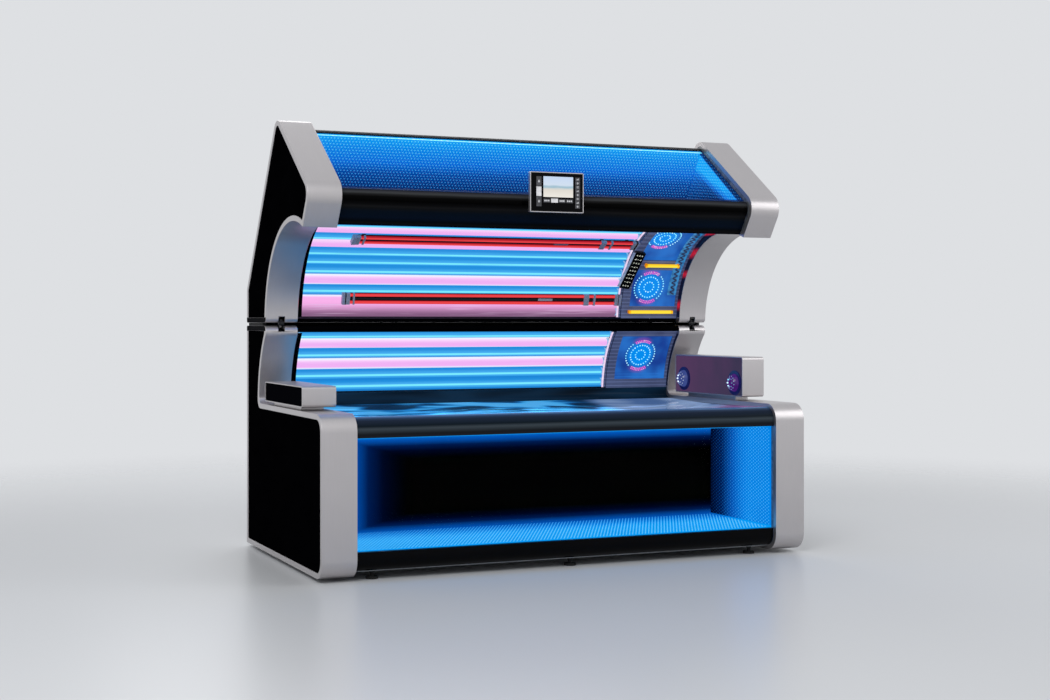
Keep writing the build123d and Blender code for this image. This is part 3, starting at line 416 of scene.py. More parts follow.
# ---- shader helpers ------------------------------------------------------------------------------
class Signal:
    """A shader socket in an expression: each operator adds the Math node that works it out."""

    def __init__(self, paint, socket):
        self.paint, self.socket = paint, socket

    def math(self, operation, *others):
        return self.paint.node("ShaderNodeMath", {"operation": operation}, dict(enumerate((self, *others))))

    def __add__(self, other):
        return self.math("ADD", other)

    def __sub__(self, other):
        return self.math("SUBTRACT", other)

    def __rsub__(self, other):
        return (self * -1).math("ADD", other)

    def __mul__(self, other):
        return self.math("MULTIPLY", other)

    def __truediv__(self, other):
        return self.math("DIVIDE", other)

    def __pow__(self, other):
        return self.math("POWER", other)

    def __gt__(self, other):
        return self.math("GREATER_THAN", other)

    def __lt__(self, other):
        return self.math("LESS_THAN", other)

    def __abs__(self):
        return self.math("ABSOLUTE")

    def fade(self, low, high, first=0.0, last=1.0):
        """The value taken smoothly from one range to another, and held at its ends."""
        return self.paint.node("ShaderNodeMapRange", {"interpolation_type": "SMOOTHSTEP"},
                               {0: self, 1: low, 2: high, 3: first, 4: last})

    __radd__, __rmul__ = __add__, __mul__


class Paint:
    """A material being mixed: its node tree and the shader that it ends in."""

    def __init__(self, name, **constants):
        self.material = bpy.data.materials.new(name)
        self.material.use_nodes = True
        self.tree = self.material.node_tree
        self.shader = self.tree.nodes["Principled BSDF"]
        self.feed(self.shader, {key.replace("_", " ").title(): value for key, value in constants.items()})

    def feed(self, node, inputs):
        for key, value in inputs.items():
            socket = node.inputs[{"Specular Ior Level": "Specular IOR Level", "Ior": "IOR"}.get(key, key)]
            if isinstance(value, Signal):
                self.tree.links.new(value.socket, socket)
            else:
                socket.default_value = value

    def node(self, kind, settings=None, inputs=None, output=0):
        """Adds a node with its settings and what feeds its sockets, and gives one of its outputs."""
        made = self.tree.nodes.new(kind)
        for key, value in (settings or {}).items():
            if key == "stops":
                while len(made.color_ramp.elements) < len(value):
                    made.color_ramp.elements.new(1.0)
                for element, (position, colour) in zip(made.color_ramp.elements, value):
                    element.position = position
                    element.color = colour
            else:
                setattr(made, key, value)
        self.feed(made, inputs or {})
        return Signal(self, made.outputs[output])

    def place(self):
        return self.node("ShaderNodeTexCoord", output="Object")

    def facing(self):
        return self.node("ShaderNodeTexCoord", output="Normal")

    def axes(self, vector):
        return [self.node("ShaderNodeSeparateXYZ", inputs={0: vector}, output=i) for i in range(3)]

    def noise(self, scale, detail=2.0, stretch=(1, 1, 1)):
        place = self.node("ShaderNodeMapping", inputs={0: self.place(), 3: stretch})
        return self.node("ShaderNodeTexNoise", inputs={"Vector": place, "Scale": scale, "Detail": detail})

    def mix(self, one, other, share):
        return self.node("ShaderNodeMix", {"data_type": "RGBA"}, {0: share, 6: one, 7: other}, output=2)

    def bump(self, height, depth):
        return self.node("ShaderNodeBump", inputs={"Height": height, "Distance": depth, "Strength": 1.0})

    def end(self, **inputs):
        """Feeds the shader and gives the finished material."""
        self.feed(self.shader, {key.replace("_", " ").title(): value for key, value in inputs.items()})
        return self.material


def tone(red, green, blue):
    """Scene-linear colour of a colour as it shows on a display, from 0 to 255."""
    linear = [v / 12.92 if v <= 0.04045 else ((v + 0.055) / 1.055) ** 2.4
              for v in (red / 255, green / 255, blue / 255)]
    return (*linear, 1.0)


BLACK, WHITE = tone(0, 0, 0), tone(255, 255, 255)


def colours():
    return bpy.context.scene.tanning_bed_colours


# ---- finishes ------------------------------------------------------------------------------------
@cache
def brushed_metal():
    """Satin metal, brushed along the bands, with painted shade that darkens the rims facing each other at the
    ends, by the gap.
    """
    paint = Paint("brushed_metal", specular_ior_level=0.0)
    lines = paint.noise(1.0, 3.0, stretch=(1400, 9, 9))
    clouds = paint.noise(7.0, 2.0)
    base = colours().band
    shade = paint.mix((*(c * 0.86 for c in base[:3]), 1), (*(min(c * 1.08, 1) for c in base[:3]), 1),
                      lines * 0.75 + clouds * 0.25)
    x, _, z = paint.axes(paint.place())
    # Painted shade: near the gap the outer rims turn dark grey and stop being metal.
    rim = (abs(x) > X_END - 0.0005) * (abs(z - (FACES["top"][1].y + CANOPY_UNDER) / 2) < 0.0325)
    return paint.end(base_color=paint.mix(shade, tone(34, 34, 36), rim), metallic=0.9 - rim * 0.9,
                     roughness=0.27 + lines * 0.10 + clouds * 0.08, normal=paint.bump(lines, 0.00004))


@cache
def gloss_black(name="gloss_black", mirror=0.06):
    """Black lacquer with faint wiping marks."""
    paint = Paint(name, specular_ior_level=mirror)
    wipes = paint.noise(5.0, 4.0, stretch=(1, 1, 2.5))
    return paint.end(base_color=paint.mix(tone(1, 1, 2), tone(6, 6, 8), wipes),
                     roughness=0.07 + wipes * 0.10)


@cache
def rail_painted_highlights(name, low, high, stops):
    """Black lacquer of a rounded rail, with painted highlights: soft lines along it where lamps would shine
    on such a curve.
    """
    paint = Paint(name, specular_ior_level=0.02)
    z = paint.axes(paint.place())[2]
    wipes = paint.noise(3.0, 2.0, stretch=(1, 1, 6))
    height = (z - low) / (high - low) + (wipes - 0.5) * 0.05
    shade = paint.node("ShaderNodeValToRGB", {"stops": stops}, {0: height})
    return paint.end(base_color=shade, roughness=0.12 + wipes * 0.10)


@cache
def satin_black():
    """Moulded black trim."""
    paint = Paint("satin_black", specular_ior_level=0.3)
    grain = paint.noise(900.0, 2.0)
    return paint.end(base_color=paint.mix(tone(16, 16, 18), tone(28, 28, 31), grain),
                     roughness=0.42 + grain * 0.12, normal=paint.bump(grain, 0.0001))


@cache
def coated_sheet():
    """Powder-coated sheet steel with a fine orange-peel skin, black where it comes round to the front."""
    paint = Paint("coated_sheet", specular_ior_level=0.35)
    peel = paint.noise(420.0, 2.0)
    clouds = paint.noise(3.0, 3.0)
    y = paint.axes(paint.place())[1]
    shade = paint.mix(tone(58, 59, 63), tone(70, 71, 75), clouds * 0.7 + peel * 0.3)
    return paint.end(base_color=paint.mix(shade, tone(9, 10, 14), y < 0.100),
                     roughness=0.40 + peel * 0.14, normal=paint.bump(peel, 0.00012))


@cache
def plain_steel():
    """Bare and zinc-plated steel of pins, struts and screws."""
    paint = Paint("plain_steel", metallic=1.0)
    lines = paint.noise(1.0, 3.0, stretch=(300, 300, 900))
    return paint.end(base_color=paint.mix(tone(150, 152, 158), tone(196, 198, 204), lines),
                     roughness=0.22 + lines * 0.14)


@cache
def zinc_frame():
    """Galvanised steel of the hidden frame."""
    paint = Paint("zinc_frame", metallic=0.8)
    spangle = paint.node("ShaderNodeTexVoronoi", inputs={"Vector": paint.place(), "Scale": 60.0},
                         output="Color")
    patch = paint.axes(spangle)[0]
    return paint.end(base_color=paint.mix(tone(112, 116, 120), tone(150, 154, 158), patch),
                     roughness=0.38 + patch * 0.16)


@cache
def foot_rubber():
    paint = Paint("foot_rubber", specular_ior_level=0.25)
    grain = paint.noise(500.0, 3.0)
    return paint.end(base_color=paint.mix(tone(20, 20, 21), tone(36, 36, 37), grain),
                     roughness=0.7 + grain * 0.15, normal=paint.bump(grain, 0.0003))


@cache
def grey_gear():
    """Painted housings of the control gear and the blowers."""
    paint = Paint("grey_gear", specular_ior_level=0.4)
    grain = paint.noise(300.0, 3.0)
    return paint.end(base_color=paint.mix(tone(96, 98, 102), tone(118, 120, 124), grain),
                     roughness=0.45 + grain * 0.2)


@cache
def socket_plastic():
    """White heat-proof plastic, warmed a little near the lamps."""
    paint = Paint("socket_plastic", specular_ior_level=0.4)
    clouds = paint.noise(40.0, 3.0)
    return paint.end(base_color=paint.mix(tone(214, 214, 212), tone(232, 231, 226), clouds),
                     roughness=0.35 + clouds * 0.15)


@cache
def clear_sheet(name="window_glass", refraction=1.05, haze=0.02):
    """Clear sheet: it lets the light through and mirrors a little at a slant."""
    paint = Paint(name)
    smear = paint.noise(4.0, 3.0)
    edge = paint.node("ShaderNodeFresnel", inputs={"IOR": refraction})
    through = paint.node("ShaderNodeBsdfTransparent", inputs={"Color": WHITE})
    mirror = paint.node("ShaderNodeBsdfGlossy", inputs={"Color": WHITE, "Roughness": haze})
    outside = 1 - paint.node("ShaderNodeNewGeometry", output="Backfacing")
    share = edge * (0.85 + smear * 0.3) * outside
    glass = paint.node("ShaderNodeMixShader", inputs={0: share, 1: through, 2: mirror})
    paint.tree.links.new(glass.socket, paint.tree.nodes["Material Output"].inputs["Surface"])
    return paint.material


def swirls(paint):
    """Lamp light that pools in broad curls on the bed: blue, and grey with magenta at the head end."""
    x, y, _ = paint.axes(paint.place())
    curl = paint.noise(1.0, 1.0, stretch=(3.4, 6.0, 1))
    level = curl.fade(0.36, 0.62, 0.0, 0.66) + y.fade(-0.55, -0.20, 0.46, 0.0) + 0.14
    blue = paint.node("ShaderNodeValToRGB", {"stops": (
        (0.0, tone(0, 14, 26)), (0.25, tone(12, 44, 76)), (0.50, tone(20, 104, 172)),
        (0.75, tone(70, 172, 238)), (1.0, tone(112, 178, 238)))}, {0: level})
    grey = paint.mix(tone(70, 98, 146), tone(122, 146, 184), curl.fade(0.35, 0.6))
    grey = paint.mix(tone(104, 26, 92), grey, (y - abs(x - 0.60) * 0.4).fade(-0.48, -0.26))
    return paint.mix(blue, grey, x.fade(0.48, 0.60))


@cache
def bed_sheet():
    """Smoked acrylic of the lying surface, a little wavy, with the lamps' light in it."""
    paint = Paint("bed_sheet", specular_ior_level=0.5, alpha=0.95, emission_strength=0.85)
    depth = paint.noise(2.2, 3.0, stretch=(1, 2, 1))
    smear = paint.noise(14.0, 4.0)
    waves = paint.noise(1.0, 1.0, stretch=(2.6, 5.5, 1))
    return paint.end(base_color=paint.mix(tone(6, 14, 30), tone(20, 40, 70), depth),
                     emission_color=swirls(paint), roughness=0.02 + smear * 0.04,
                     normal=paint.bump(waves, 0.02))


@cache
def cove_gloss():
    """Black lacquer behind the bed, with a trace of the lamps' light."""
    paint = Paint("cove_gloss", specular_ior_level=0.03, emission_strength=1.0)
    smear = paint.noise(1.0, 2.0, stretch=(1.5, 9, 9))
    return paint.end(base_color=paint.mix(tone(4, 5, 8), tone(10, 12, 18), smear),
                     emission_color=paint.mix(tone(2, 10, 20), tone(12, 40, 64), smear.fade(0.35, 0.65)),
                     roughness=0.06 + smear * 0.08)


@cache
def glow(name, heart, rim, hub, sharpness=3.0, line=0.0, dusk=None):
    """Lit lamp surface, palest where it faces the tunnel's middle; dusk colours its lowest part."""
    paint = Paint(name, base_color=BLACK, roughness=0.5, specular_ior_level=0.1, emission_strength=1.0)
    inward = paint.node("ShaderNodeVectorMath", {"operation": "SUBTRACT"},
                        {0: (0, hub[0], hub[1]), 1: paint.place()})
    inward = paint.node("ShaderNodeVectorMath", {"operation": "MULTIPLY"}, {0: inward, 1: (0, 1, 1)})
    inward = paint.node("ShaderNodeVectorMath", {"operation": "NORMALIZE"}, {0: inward})
    open_face = paint.node("ShaderNodeVectorMath", {"operation": "DOT_PRODUCT"},
                           {0: inward, 1: paint.facing()}, output="Value")
    faced = open_face.fade(0.0, 1.0) ** sharpness
    body = paint.mix(rim, heart, faced)
    if line:
        body = paint.mix(body, colours().lamp_line, open_face.fade(1 - line, 1 - line / 3))
    if dusk:
        z = paint.axes(paint.place())[2]
        body = paint.mix(paint.mix(*dusk, z.fade(1.135, 1.205)), body, z.fade(1.215, 1.235))
    streak = paint.noise(1.0, 2.0, stretch=(3, 60, 60))
    return paint.end(emission_color=paint.mix(body, rim, streak.fade(0.55, 0.75, 0.0, 0.25)))


@cache
def lit_dot(name, colour, strength=1.3):
    paint = Paint(name, base_color=BLACK, emission_strength=strength)
    flicker = paint.noise(70.0, 1.0)
    pale = (*(c * 0.6 + 0.4 for c in colour[:3]), 1.0)
    return paint.end(emission_color=paint.mix(colour, pale, flicker.fade(0.4, 0.7)))


# ---- properties ----------------------------------------------------------------------------------
class TanningBedSizes(PropertyGroup):
    """Sizes that can be changed without touching the frame"""

    band_edge: FloatProperty(name="Band edge", description="Rounding on the metal bands' rims",
                             default=0.0016, unit="LENGTH")
    dot_pitch: FloatProperty(name="Dot pitch", description="Distance between the light dots of a niche",
                             default=0.0165, unit="LENGTH")
    dot_radius: FloatProperty(name="Dot radius", description="Radius of a light dot in a niche",
                              default=0.0036, unit="LENGTH")
    screw_radius: FloatProperty(name="Screw radius", description="Radius of the cover screws' heads",
                                default=0.0055, unit="LENGTH")


class TanningBedColours(PropertyGroup):
    """Colours of the metal and of the lights"""

    band: FloatVectorProperty(name="Bands", description="Brushed metal of the bands", size=4,
                              default=tone(196, 192, 193), subtype="COLOR")
    niche: FloatVectorProperty(name="Niches", description="Glow of the niches' walls", size=4,
                               default=tone(6, 158, 246), subtype="COLOR")
    dots: FloatVectorProperty(name="Dots", description="Light dots in the niches", size=4,
                              default=tone(112, 208, 255), subtype="COLOR")
    lamp_blue: FloatVectorProperty(name="Blue lamps", description="Tanning lamps with blue light", size=4,
                                   default=tone(66, 172, 240), subtype="COLOR")
    lamp_pink: FloatVectorProperty(name="Pink lamps", description="Collagen lamps with pink light", size=4,
                                   default=tone(240, 178, 244), subtype="COLOR")
    lamp_line: FloatVectorProperty(name="Lamp line", description="Bright line along a blue lamp", size=4,
                                   default=tone(124, 236, 255), subtype="COLOR")
    red: FloatVectorProperty(name="Red bars", description="Red light bars", size=4,
                             default=tone(238, 66, 70), subtype="COLOR")
    yellow: FloatVectorProperty(name="Yellow bars", description="Yellow light bars", size=4,
                                default=tone(255, 198, 20), subtype="COLOR")
    floor: FloatVectorProperty(name="Floor", description="Studio floor", size=4,
                               default=tone(214, 216, 219), subtype="COLOR")


# ---- stage ---------------------------------------------------------------------------------------
EYE = Vector((-3.079, -7.139, 1.108))
EYE_AZIMUTH = 23.478
LENS = 54.89
LENS_SHIFT = -0.0278


class BED_OT_stage(Operator):
    """Makes the camera, the floor, the lamps and the pale surroundings"""

    bl_idname = "tanning_bed.stage"
    bl_label = "Studio"

    def execute(self, context):
        deselect()
        bpy.ops.object.camera_add(location=EYE, rotation=(pi / 2, 0, -radians(EYE_AZIMUTH)))
        camera = context.object
        camera.name = "camera"
        camera.data.lens = LENS
        camera.data.sensor_width = 36.0
        camera.data.shift_y = LENS_SHIFT
        context.scene.camera = camera

        floor = start("studio_floor", "plane", size=60.0)
        paint = Paint("studio_floor", specular_ior_level=0.3)
        grain = paint.noise(30.0, 4.0)
        shade = colours().floor
        away = paint.node("ShaderNodeVectorMath", {"operation": "LENGTH"}, {0: paint.place()},
                          output="Value")
        floor.data.materials.append(paint.end(
            base_color=paint.mix((*(c * 0.985 for c in shade[:3]), 1), shade, grain),
            roughness=0.30 + grain * 0.05, alpha=away.fade(2.2, 6.5, 1.0, 0.0)))

        for name, place, size, power in (("key", (-3.2, -4.2, 4.6), 3.2, 150.0),
                                         ("fill", (4.2, -3.0, 3.2), 3.0, 60.0),
                                         ("rim", (0.5, 4.5, 4.0), 3.5, 90.0)):
            aim = Vector((0, 0, 1.0)) - Vector(place)
            bpy.ops.object.light_add(type="AREA", location=place,
                                     rotation=aim.to_track_quat("-Z", "Y").to_euler())
            lamp = context.object
            lamp.name = "lamp_" + name
            lamp.data.size = size
            lamp.data.energy = power

        world = bpy.data.worlds.new("studio")
        context.scene.world = world
        world.use_nodes = True
        nodes, links = world.node_tree.nodes, world.node_tree.links
        backdrop = nodes["Background"]
        backdrop.inputs["Color"].default_value = tone(222, 224, 227)
        seen = nodes.new("ShaderNodeLightPath")
        direct = seen.outputs["Is Camera Ray"]
        for ray in ("Is Glossy Ray", "Is Transmission Ray"):
            either = nodes.new("ShaderNodeMath")
            either.operation = "MAXIMUM"
            links.new(direct, either.inputs[0])
            links.new(seen.outputs[ray], either.inputs[1])
            direct = either.outputs[0]
        level = nodes.new("ShaderNodeMapRange")
        level.inputs["To Min"].default_value = 0.55
        level.inputs["To Max"].default_value = 1.0
        links.new(direct, level.inputs["Value"])
        links.new(level.outputs[0], backdrop.inputs["Strength"])
        context.scene.view_settings.view_transform = "Standard"
        return {"FINISHED"}


# ---- housings ------------------------------------------------------------------------------------
STRUT_SLOT_Y, STRUT_SLOT_HALF = (0.386, 0.502), 0.020
HINGE_NOTCH_HALF = 0.0155
# Where the hinges pass each housing's band, as Y and Z.
HINGE_NOTCHES = {"base": ((0.284, 0.348), (1.056, 1.090)), "canopy": ((0.278, 0.326), (1.094, 1.128))}


class BED_OT_end_bands(Operator):
    """Wraps the ends of both housings in brushed metal, open where the gas struts and hinges pass"""

    bl_idname = "tanning_bed.end_bands"
    bl_label = "End bands"

    def execute(self, context):
        edge = context.scene.tanning_bed_sizes.band_edge
        middle = (X_BAND + X_END) / 2
        for part, body, outline, gap_z in (("base", "base", base_outline, FACES["top"][1].y),
                                           ("canopy", "canopy", canopy_outline, FACES["under"][1].y)):
            band = slab(part + "_band_right", outline(0.0), X_BAND, X_END)
            (y0, y1), (z0, z1) = HINGE_NOTCHES[part]
            cut(band, slab("core", outline(BAND_WALL), X_BAND + RIM_THICKNESS, X_END - RIM_THICKNESS),
                slab("core", outline(BAND_RIM), X_BAND - 0.01, X_END + 0.01),
                box("slot", (middle - STRUT_SLOT_HALF, STRUT_SLOT_Y[0], gap_z - 0.02),
                    (middle + STRUT_SLOT_HALF, STRUT_SLOT_Y[1], gap_z + 0.02)),
                box("notch", (middle - HINGE_NOTCH_HALF, y0, z0), (middle + HINGE_NOTCH_HALF, y1, z1)))
            soften(band, edge, segments=3)
            other = moved(twin(band, part + "_band_left"), shift(x=-X_END - X_BAND))
            for piece, side in ((band, "right"), (other, "left")):
                hand_over(piece, body, "band_metal", brushed_metal(), part + "_end_band_" + side)
        return {"FINISHED"}


PANEL_RECESS = 0.003
PANEL_THICKNESS = 0.006


class BED_OT_side_panels(Operator):
    """Closes the outer ends with gloss panels set back inside the bands, and fits the inner walls"""

    bl_idname = "tanning_bed.side_panels"
    bl_label = "Side panels"

    def execute(self, context):
        for part, outline in (("base", base_outline), ("canopy", canopy_outline)):
            inner = X_END - PANEL_RECESS - PANEL_THICKNESS
            right = slab(part + "_side_panel", outline(BAND_RIM + 0.0005), inner, X_END - PANEL_RECESS)
            soften(right, 0.0012)
            left = moved(twin(right), shift(x=-inner - X_END + PANEL_RECESS))
            hand_over(joined(part + "_side_gloss", [right, left]), part, "gloss_black",
                      gloss_black("side_gloss", 0.0), part + "_side_panels")
        coat(zinc_frame(), "base_inner_walls", "canopy_inner_walls", "base_chassis", "canopy_spine_beam")
        return {"FINISHED"}


RAIL_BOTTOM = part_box("bed_rails")[0].z
REAR_SEAM_Z = 1.056
ROOF_START_Y = 0.049
HEEL_TRIM_Y = 0.560
RAIL_END_Y = -0.327
RAIL_WALL = 0.005

# Groups of exhaust slots: distance from the middle, half length and half height of a slot.
SLOTS_X, SLOT_HALF_LENGTH, SLOT_HALF_HEIGHT = 0.620, 0.180, 0.004
# Rows of slots: number, height of the lowest and pitch.
BACK_SLOTS = (9, 0.450, 0.024)
ROOF_SLOTS = (7, 1.530, 0.026)
GLAND_X, GLAND_Z, GLAND_HOLE_R = -0.860, 0.190, 0.0155

# Black rubber strips that darken the gap as painted shade: the rear strip's depth, the end strips' width and
# where they start.
SHADE_SEAL_REAR_Y = (0.590, 0.622)
SHADE_SEAL_WIDTH, SHADE_SEAL_START_Y = 0.017, 0.346
SHADE_SEAL_SETBACK, SHADE_SEAL_GAP = 0.002, 0.0004

# Painted highlights and painted reflections of the lamps along the rails, from the bottom to the top.
BED_RAIL_PAINTED_HIGHLIGHTS = (
    (0.0, tone(34, 34, 40)), (0.17, tone(26, 29, 33)), (0.30, tone(48, 55, 61)), (0.42, tone(62, 71, 78)),
    (0.55, tone(18, 28, 36)), (0.68, tone(26, 36, 50)), (0.82, tone(32, 42, 60)), (0.92, tone(48, 66, 94)),
    (1.0, tone(84, 128, 180)))
NOSE_RAIL_PAINTED_HIGHLIGHTS = (
    (0.0, tone(0, 3, 14)), (0.07, tone(16, 16, 17)), (0.12, tone(4, 8, 12)), (0.22, tone(6, 18, 34)),
    (0.38, tone(7, 18, 30)), (0.47, tone(18, 20, 23)), (0.53, tone(26, 26, 27)), (0.58, tone(14, 14, 15)),
    (0.68, tone(1, 1, 1)), (0.79, tone(6, 6, 6)), (0.85, tone(30, 30, 31)), (0.90, tone(60, 62, 64)),
    (0.95, tone(46, 47, 54)), (1.0, tone(14, 19, 26)))


def front_rail_bends(inset, lip):
    bend = base_bends(inset, lip)
    return [spot(FRONT + inset, RAIL_BOTTOM), back_to_front(bend["knee"]), spot(-0.560, SEAT_Z - inset)]


def cove_bends(inset, lip):
    bend = base_bends(inset, lip)
    end = on_hub(RISER_HUB, RISER_R + inset, 4.0)
    return [spot(0.385, SEAT_Z - inset), bend["foot"], (RISER_HUB, bend["foot"][2], end)]


def cap_bends(inset, lip):
    bend = base_bends(inset, lip)
    first = on_hub(RISER_HUB, RISER_R + inset, 43.5)
    return [(RISER_HUB, first, bend["nose"][2]), back_to_front(bend["nose"]),
            back_to_front(bend["crest"]), spot(REAR - inset, REAR_SEAM_Z)]


def back_bends(inset, lip):
    return [spot(REAR - inset, REAR_SEAM_Z - 0.001), spot(REAR - inset, 0.040)]


def roof_bends(inset, lip):
    bend = canopy_bends(inset, lip)
    brow = FACES["screen"][1] - inset * SCREEN_NORMAL
    first = brow + (ROOF_START_Y - brow.x) * Vector((1, SCREEN_SLOPE))
    return [(None, first, first), back_to_front(bend["ridge"]), back_to_front(bend["shoulder"]),
            back_to_front(bend["hem"]), spot(HEEL_TRIM_Y, CANOPY_UNDER + lip)]


def heel_bends(inset, lip):
    bend = canopy_bends(inset, lip)
    last = on_hub(CANOPY_HUB, CANOPY_R + inset, 3.2)
    return [spot(HEEL_TRIM_Y - 0.0005, CANOPY_UNDER + lip), bend["heel"],
            (CANOPY_HUB, bend["heel"][2], last)]


def nose_rail_bends(inset, lip):
    """The nose, its face drawn down almost to the bands' arc, and a hem back up to the lamps' sheet."""
    hub, first, last = canopy_bends(inset, lip)["nose"]
    first = first - 0.001 * Vector((1, SCREEN_SLOPE)).normalized()
    end_y = RAIL_END_Y - inset + CANOPY_INSET
    foot = Vector((end_y - 0.0015, last.y - (end_y - 0.0015 - last.x) / SCREEN_SLOPE))
    hem_top = CANOPY_HUB.y + sqrt((CANOPY_R + CANOPY_INSET) ** 2 - (end_y - CANOPY_HUB.x) ** 2)
    return [(hub, first, last), spot(*foot), spot(end_y, foot.y), spot(end_y, hem_top)]


def rear_slope_y(z, inset=CANOPY_INSET):
    """Y of the canopy's sloping rear at height z, set back."""
    return REAR - inset * hypot(1, REAR_SLOPE) / REAR_SLOPE - (z - REAR_SHOULDER.y) / REAR_SLOPE


def exhaust(x_middle, rows, surface_y):
    """Cutters of one group of exhaust slots; surface_y gives the sheet's y at a height."""
    count, lowest, pitch = rows
    cutters = []
    for row in range(count):
        z = lowest + row * pitch
        y = surface_y(z)
        cutters.append(box("slot", (x_middle - SLOT_HALF_LENGTH, y - 0.04, z - SLOT_HALF_HEIGHT),
                           (x_middle + SLOT_HALF_LENGTH, y + 0.04, z + SLOT_HALF_HEIGHT)))
    return joined("slots", cutters)


class BED_OT_shells(Operator):
    """Folds the front rail, the cove, the rear covers, the roof and the nose rail"""

    bl_idname = "tanning_bed.shells"
    bl_label = "Shells"

    def execute(self, context):
        rail = slab("bed_front_rail", strip(front_rail_bends, SHELL_INSET, RAIL_WALL), -X_MID, X_MID)
        hand_over(soften(rail, 0.0012), "base", "gloss_black",
                  rail_painted_highlights("bed_rail_gloss", RAIL_BOTTOM, SEAT_Z - SHELL_INSET, BED_RAIL_PAINTED_HIGHLIGHTS),
                  "bed_rails")
        cove = slab("bed_rear_cove", strip(cove_bends, SHELL_INSET, RAIL_WALL), -X_MID, X_MID)
        hand_over(soften(cove, 0.0012), "base", "gloss_black", cove_gloss(), "bed_rails")

        cap = slab("riser_cap", strip(cap_bends, SHELL_INSET, SHEET), -X_MID, X_MID)
        hand_over(soften(cap, 0.0009), "base", "gloss_black", gloss_black("side_gloss", 0.0),
                  "base_rear_cover")
        back = slab("base_back_sheet", strip(back_bends, SHELL_INSET, SHEET), -X_MID, X_MID)
        for x in (-SLOTS_X, SLOTS_X):
            cut(back, exhaust(x, BACK_SLOTS, lambda z: REAR - SHELL_INSET))
        cut(back, start("gland_hole", "cylinder", radius=GLAND_HOLE_R, depth=0.1, vertices=32,
                        location=(GLAND_X, REAR - SHELL_INSET, GLAND_Z), rotation=(pi / 2, 0, 0)))
        hand_over(soften(back, 0.0009), "base", "cover_metal", coated_sheet(), "base_rear_cover")

        self.gap_shade_seals()

        roof = slab("canopy_roof_sheet", strip(roof_bends, CANOPY_INSET, SHEET), -X_MID, X_MID)
        for x in (-SLOTS_X, SLOTS_X):
            cut(roof, exhaust(x, ROOF_SLOTS, rear_slope_y))
        hand_over(soften(roof, 0.0009), "canopy", "cover_metal", coated_sheet(), "canopy_rear_cover")
        heel = slab("canopy_heel_trim", strip(heel_bends, CANOPY_INSET, SHEET), -X_MID, X_MID)
        hand_over(soften(heel, 0.0009), "canopy", "gloss_black", gloss_black("side_gloss", 0.0),
                  "canopy_rear_cover")
        nose = slab("canopy_nose", strip(nose_rail_bends, CANOPY_INSET, RAIL_WALL), -X_MID, X_MID)
        low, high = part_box("canopy_nose_rail")
        hand_over(soften(nose, 0.0012), "canopy", "gloss_black",
                  rail_painted_highlights("nose_rail_gloss", low.z, high.z, NOSE_RAIL_PAINTED_HIGHLIGHTS), "canopy_nose_rail")

        plinth = refined("base_plinth")
        hand_over(plinth, "base", "gloss_black", gloss_black(), "base_plinth")
        return {"FINISHED"}

    def gap_shade_seals(self):
        """Black rubber strips that close the gap under the canopy along the rear and at both ends, darkening
        it as painted shade.
        """
        top, low = CANOPY_UNDER - SHADE_SEAL_GAP, FACES["top"][1].y
        outer = X_END - SHADE_SEAL_SETBACK
        y0, y1 = SHADE_SEAL_REAR_Y
        seals = [box("seal", (-outer, y0, low), (outer, y1, top)),
                 box("seal", (-X_MID, y0 + 0.0005, low - LIP), (X_MID, y1 - 0.0005, top + LIP))]
        for x0, x1 in ((-outer, SHADE_SEAL_WIDTH - outer), (outer - SHADE_SEAL_WIDTH, outer)):
            seals.append(box("seal", (x0, SHADE_SEAL_START_Y, low), (x1, y0 - 0.001, top)))
        hand_over(soften(joined("gap_shade_seals", seals), 0.001), "base", "pad_rubber", foot_rubber(),
                  "base_rear_cover")


# ---- lamps ---------------------------------------------------------------------------------------
TUBE_R = 0.019
TUBES_START = -1.018
CANOPY_TUBES_END = 0.690
RISER_TUBES_END = 0.660
CAP_LENGTH = 0.009

DUSK = (tone(132, 92, 128), tone(250, 178, 236))

LAMP_ROWS = {
    # hub, radius to the lamps' axes, end, first angle, pitch, count, pink lamps
    "riser": (RISER_HUB, 0.517, RISER_TUBES_END, 7.6, 6.2, 6, (2, 4)),
    "canopy": (CANOPY_HUB, 0.527, CANOPY_TUBES_END, 7.1, 5.75, 18, (0, 1, 3, 7, 9, 12, 15)),
}


